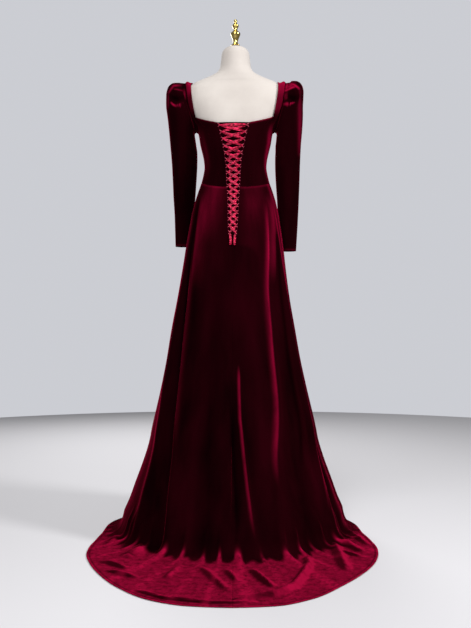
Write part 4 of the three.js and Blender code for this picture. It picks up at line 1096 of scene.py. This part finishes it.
def sleeve_surface(table, side):
    count = len(table)

    def ring(k, angle):
        row = table[np.clip(k - 1, 0, count - 1)].T
        out_x, out_z, in_x, in_z, depth, lean, power = row
        c, s = signed_power(np.cos(angle), power), signed_power(np.sin(angle), power)
        x = mix(in_x, out_x, (c + 1) / 2)
        z = mix(in_z, out_z, (c + 1) / 2)
        p = np.stack([x, lean + s * depth, z], -1)
        return np.where((k <= 0)[..., None], armhole_ring(angle), p)

    def surface(turn, place):
        angle = np.radians(turn)
        at = np.clip(place, 0, count)
        k = np.minimum(np.floor(at).astype(int), count - 1)
        t = (at - k)[..., None]
        weights = (
            -t + 2 * t**2 - t**3, 2 - 5 * t**2 + 3 * t**3, t + 4 * t**2 - 3 * t**3, t**3 - t**2,
        )
        p = sum(ring(np.clip(k + n, 0, count), angle) * w / 2 for n, w in enumerate(weights, -1))
        arc = (p[..., 0] - HEAD_TUCK["x"]) / HEAD_TUCK["half"]
        down = (p[..., 2] - HEAD_TUCK["height"] - HEAD_TUCK["sag"] * arc**2) / HEAD_TUCK["tall"]
        inside = smooth((np.abs(p[..., 1]) - 20) / 20)
        tuck = HEAD_TUCK["deep"] * (bell(down) - 0.5 * bell(down - 1.6)) * bell(arc) * inside
        p[..., 1] -= np.sign(p[..., 1]) * tuck
        pleat = pleats_at(turn, place) * HEAD_PLEATS["deep"]
        p[..., 1] += np.sin(angle) * pleat
        p[..., 2] += np.maximum(0, np.cos(angle)) * pleat
        lump = 1.6 * crumple_at(p, turn, place)
        p[..., 1] += np.sin(angle) * lump
        p[..., 0] += np.cos(angle) * lump * 0.5
        bend = bell((place - 10.3) / 1.1) * np.cos(place * 7.5) * np.maximum(0, -np.cos(angle))
        p[..., 1] += 2.0 * bend * np.sign(np.sin(angle))
        p[..., 0] *= side
        return p

    return surface


def crumple_at(p, turn, place):
    """The uneven wrinkles of the gathered sleeve's head, from -1 to 1."""
    x, y, z = np.abs(p[..., 0]), p[..., 1], p[..., 2]
    over_top = smooth((np.cos(np.radians(turn)) + 0.1) / 0.6)
    wavy = np.sin(0.19 * z + 2.1 * np.sin(0.085 * x + 0.4) + 0.11 * y)
    return wavy * over_top * bell((place - 2.2) / 1.6) * smooth(place / 0.9)


def pleats_at(turn, place):
    """The small pleats that gather the sleeve's head into the armhole, 1 on their crests."""
    over_top = smooth((np.cos(np.radians(turn)) + 0.35) / 0.5)
    wave = np.cos(np.radians(turn) * HEAD_PLEATS["count"] + 0.7 * np.sin(turn * 0.05))
    begun = smooth(place / 0.9)
    return 0.6 * over_top * wave * begun * bell((place - HEAD_PLEATS["from"]) / HEAD_PLEATS["run"])


def sleeve_painted_light(turn, place, p, side):
    """The sleeve's painted light: highlights on its head's folds, its pleats and its hem, and shade
    in its head's hollow.
    """
    x, z = np.abs(p[..., 0]), p[..., 2]
    painted_strokes = np.zeros_like(x)
    for strength, wide, places in LEFT_HEAD_PAINTED_HIGHLIGHTS if side > 0 else RIGHT_HEAD_PAINTED_HIGHLIGHTS:
        nearest, share = near_line(x, z, places)
        soft_ends = 0.4 + 0.6 * np.sin(np.pi * share) ** 0.6
        painted_strokes = np.maximum(painted_strokes, strength * soft_ends * bell(nearest / wide))
    outside = np.abs(np.sin(np.radians(turn))) > 0.2
    # Painted highlight on the crests of the head's pleats.
    crests = 0.3 * np.maximum(0, pleats_at(turn, place)) ** 2
    # Painted shade in the hollow of the head.
    hollow = bell((x - HEAD_PAINTED_SHADE["x"]) / HEAD_PAINTED_SHADE["half"])
    hollow = hollow * bell((z - HEAD_PAINTED_SHADE["height"]) / HEAD_PAINTED_SHADE["tall"]) * -HEAD_PAINTED_SHADE["dark"]
    # Painted highlight along the cuff's hem.
    cuff_highlight = 0.15 * bell((z - z.min() - 3) / 4)
    # The pleats' painted highlight is weaker on the left sleeve, away from the key light.
    crests = crests * (0.4 if side > 0 else 1)
    return painted_strokes * outside + hollow * (1 - smooth(painted_strokes * 3)) + crests + cuff_highlight


def make_sleeves():
    for word, side, table in (("left", 1, LEFT_SLEEVE), ("right", -1, RIGHT_SLEEVE)):
        tube = sleeve_surface(table, side)
        count = len(table)

        def placed(u, v):
            turn, place = u * 360, v * count
            n = normal_of(tube, turn, np.clip(place, 0.3, count - 0.05), 4, 0.05) * -side
            p = tube(turn, place) + n
            return p, sleeve_painted_light(turn, place, p, side)

        middle = np.array([(r[0] + r[2]) / 2 for r in table]) * side * MM
        heights = np.array([(r[1] + r[3]) / 2 for r in table]) * MM
        leans = table[:, 5] * MM

        def outward(p):
            x = np.interp(-p.z, -heights, middle)
            y = np.interp(-p.z, -heights, leans)
            return Vector((p.x - x, p.y - y, 0)).normalized()

        piece = sewn_piece(f"sleeve_cloth_{word}", placed, (120, 260), f"sleeve_{word}", outward,
                           rolled=True)


def make_form():
    low, high = FORM.span()

    def cover(u, v):
        return form_skin(u * 360, mix(low, high, v))

    piece = cloth_mesh("form_cover", cover, 120, 260, from_pole, rolled=True)
    close_ends(piece)
    dress_piece(piece, jersey, "form_torso")


# The finial's turning: radius and height over its foot.
FINIAL_PROFILE = [
    (0, 0), (16, 0), (16.5, 2), (15.5, 4), (12, 5), (11.5, 7), (9.5, 9), (8.5, 14), (10, 22),
    (14, 32), (18, 41), (18.8, 46), (17.5, 49), (14, 51.5), (13.5, 53), (9, 56), (6.5, 60),
    (7, 64), (10.5, 70), (12.5, 75), (12, 79), (8, 82), (5.5, 85), (5, 88), (6.6, 91),
    (7, 95), (5, 99), (0, 101),
]


def make_finial():
    foot = FORM.span()[1] + SEAM_GAP
    last = len(FINIAL_PROFILE) - 1
    bm = bmesh.new()
    # A grid rolled up, and no spin, whose faces come in another order each run.
    bmesh.ops.create_grid(bm, x_segments=48, y_segments=last, size=0.5)
    for v in bm.verts:
        r, z = FINIAL_PROFILE[round((v.co.y + 0.5) * last)]
        angle = (v.co.x + 0.5) * 2 * math.pi
        v.co = (r * MM * math.cos(angle), r * MM * math.sin(angle), (foot + z) * MM)
    bmesh.ops.remove_doubles(bm, verts=bm.verts, dist=1e-6)
    bmesh.ops.recalc_face_normals(bm, faces=bm.faces)
    piece = mesh_object("finial_turned", bm)
    smoother = piece.modifiers.new("smooth", "SUBSURF")
    smoother.levels = smoother.render_levels = 1
    dress_piece(piece, gold, "finial")


def finish_stand():
    for node in ("stand_pole", "stand_base"):
        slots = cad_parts[node].data.materials
        slots.clear()
        slots.append(stand_paint)


def loop_cord_through(points):
    """A short cord with round ends, through a few points."""
    curve = bpy.data.curves.new("loop", "CURVE")
    curve.dimensions = "3D"
    curve.bevel_depth = LOOP["wire"] * MM
    curve.bevel_resolution = 2
    curve.use_fill_caps = True
    spline = curve.splines.new("BEZIER")
    spline.bezier_points.add(len(points) - 1)
    for knot, point in zip(spline.bezier_points, points):
        knot.co = point
        knot.handle_left_type = knot.handle_right_type = "AUTO"
    return add_object("loop", curve)


def make_loop_tapes():
    loop_level = (RIBBON["over"] + RIBBON["under"]) / 2
    low, high = tip_height(LACE_TURNS) - TAPE["below"], NECK_AT_BACK - 1
    for word, side in SIDES:

        def strip(u, v):
            height = mix(low, high, v)
            edge = opening_at(height) - SEAM_GAP
            return laid(side * mix(edge - TAPE["wide"], edge, u), height, TAPE["over"] + 0 * u)[0]

        piece = cloth_mesh(f"loop_tape_cloth_{word}", strip, 4, 160, from_pole)
        give_thickness(piece, TAPE["thick"])
        dress_piece(piece, tape_cloth, f"loop_tape_{word}")
        bm = bmesh.new()
        for k in range(LACE_TURNS + 1):
            inside = tip_reach(k) - LOOP["inset"]
            sewn = float(opening_at(tip_height(k))) - SEAM_GAP - TAPE["wide"] / 2
            half = [
                (sewn, LOOP["foot"], 0.6), (mix(inside, sewn, 0.5), 4.3, 1.2),
                (inside, LOOP["bight"], loop_level),
            ]
            out, up, over = np.array(half + [(x, -up, level) for x, up, level in half[::-1]]).T
            cord = loop_cord_through(laid(side * out, tip_height(k) + up, over)[0] * MM)
            made = cord.evaluated_get(bpy.context.evaluated_depsgraph_get()).to_mesh()
            bm.from_mesh(made)
            bpy.data.objects.remove(cord)
        loops = dress_piece(mesh_object(f"lace_loops_{word}", bm), loop_cord)


# The camera of the photograph: level, behind the gown and a little to the wearer's right.
CAMERA_AT = Vector((-0.034, 3.2, 0.8))
CAMERA_LOOKS_AT = Vector((0.0, 0.0, 0.8))
FOCAL_PIXELS = 848
FRAME_PIXELS = 628


def make_camera():
    data = bpy.data.cameras.new("camera")
    data.sensor_width = 36
    data.lens = 36 * FOCAL_PIXELS / FRAME_PIXELS
    camera = add_object("camera", data)
    camera.location = CAMERA_AT
    camera.rotation_euler = (CAMERA_LOOKS_AT - CAMERA_AT).to_track_quat("-Z", "Y").to_euler()
    bpy.context.scene.camera = camera


# The soft lights: where each hangs, what it is aimed at, its width and its power.
SOFT_LIGHTS = {
    "key": ((-2.9, 1.5, 2.5), (0, 0.2, 1.0), 0.8, 95),
    "front": ((0.5, 3.6, 2.1), (0, 0.1, 1.0), 1.0, 54),
    "top": ((0.4, 1.3, 3.4), (0, 0.5, 0.2), 1.2, 40),
    "behind": ((0.8, -2.8, 2.2), (0, 0, 1.0), 1.6, 58),
}
FLOOR_RADIUS = 4.0
FLOOR_CENTRE = (0, 0.2, -0.0008)


def make_lights():
    for name, (at, aim, size, watts) in SOFT_LIGHTS.items():
        data = bpy.data.lights.new(name, "AREA")
        data.shape = "DISK"
        data.size = size
        data.energy = watts
        light = add_object(name, data)
        light.location = at
        light.rotation_euler = (Vector(aim) - Vector(at)).to_track_quat("-Z", "Y").to_euler()


def make_studio():
    bm = bmesh.new()
    bmesh.ops.create_circle(bm, cap_ends=True, segments=96, radius=FLOOR_RADIUS,
                            matrix=Matrix.Translation(FLOOR_CENTRE))
    floor = mesh_object("floor", bm)
    pale = Finish("floor_pale", Roughness=0.8, Base_Color=(0.66, 0.65, 0.67, 1))
    floor.data.materials.append(pale.material)
    world = bpy.data.worlds.new("studio")
    bpy.context.scene.world = world
    world.use_nodes = True
    nodes, links = world.node_tree.nodes, world.node_tree.links
    light = nodes["Background"]
    light.inputs["Color"].default_value = (0.95, 0.96, 1.0, 1)
    light.inputs["Strength"].default_value = 0.2
    seen = nodes.new("ShaderNodeBackground")
    seen.inputs["Color"].default_value = (0.60, 0.61, 0.65, 1)
    rays = nodes.new("ShaderNodeLightPath")
    both = nodes.new("ShaderNodeMixShader")
    links.new(rays.outputs["Is Camera Ray"], both.inputs[0])
    links.new(light.outputs[0], both.inputs[1])
    links.new(seen.outputs[0], both.inputs[2])
    links.new(both.outputs[0], nodes["World Output"].inputs["Surface"])


bpy.context.scene.view_settings.view_transform = "Standard"
make_camera()
make_lace()
make_loop_tapes()
make_modesty_panel()
make_bodice()
make_sleeves()
make_skirt()
make_form()
make_finial()
finish_stand()
make_studio()
make_lights()
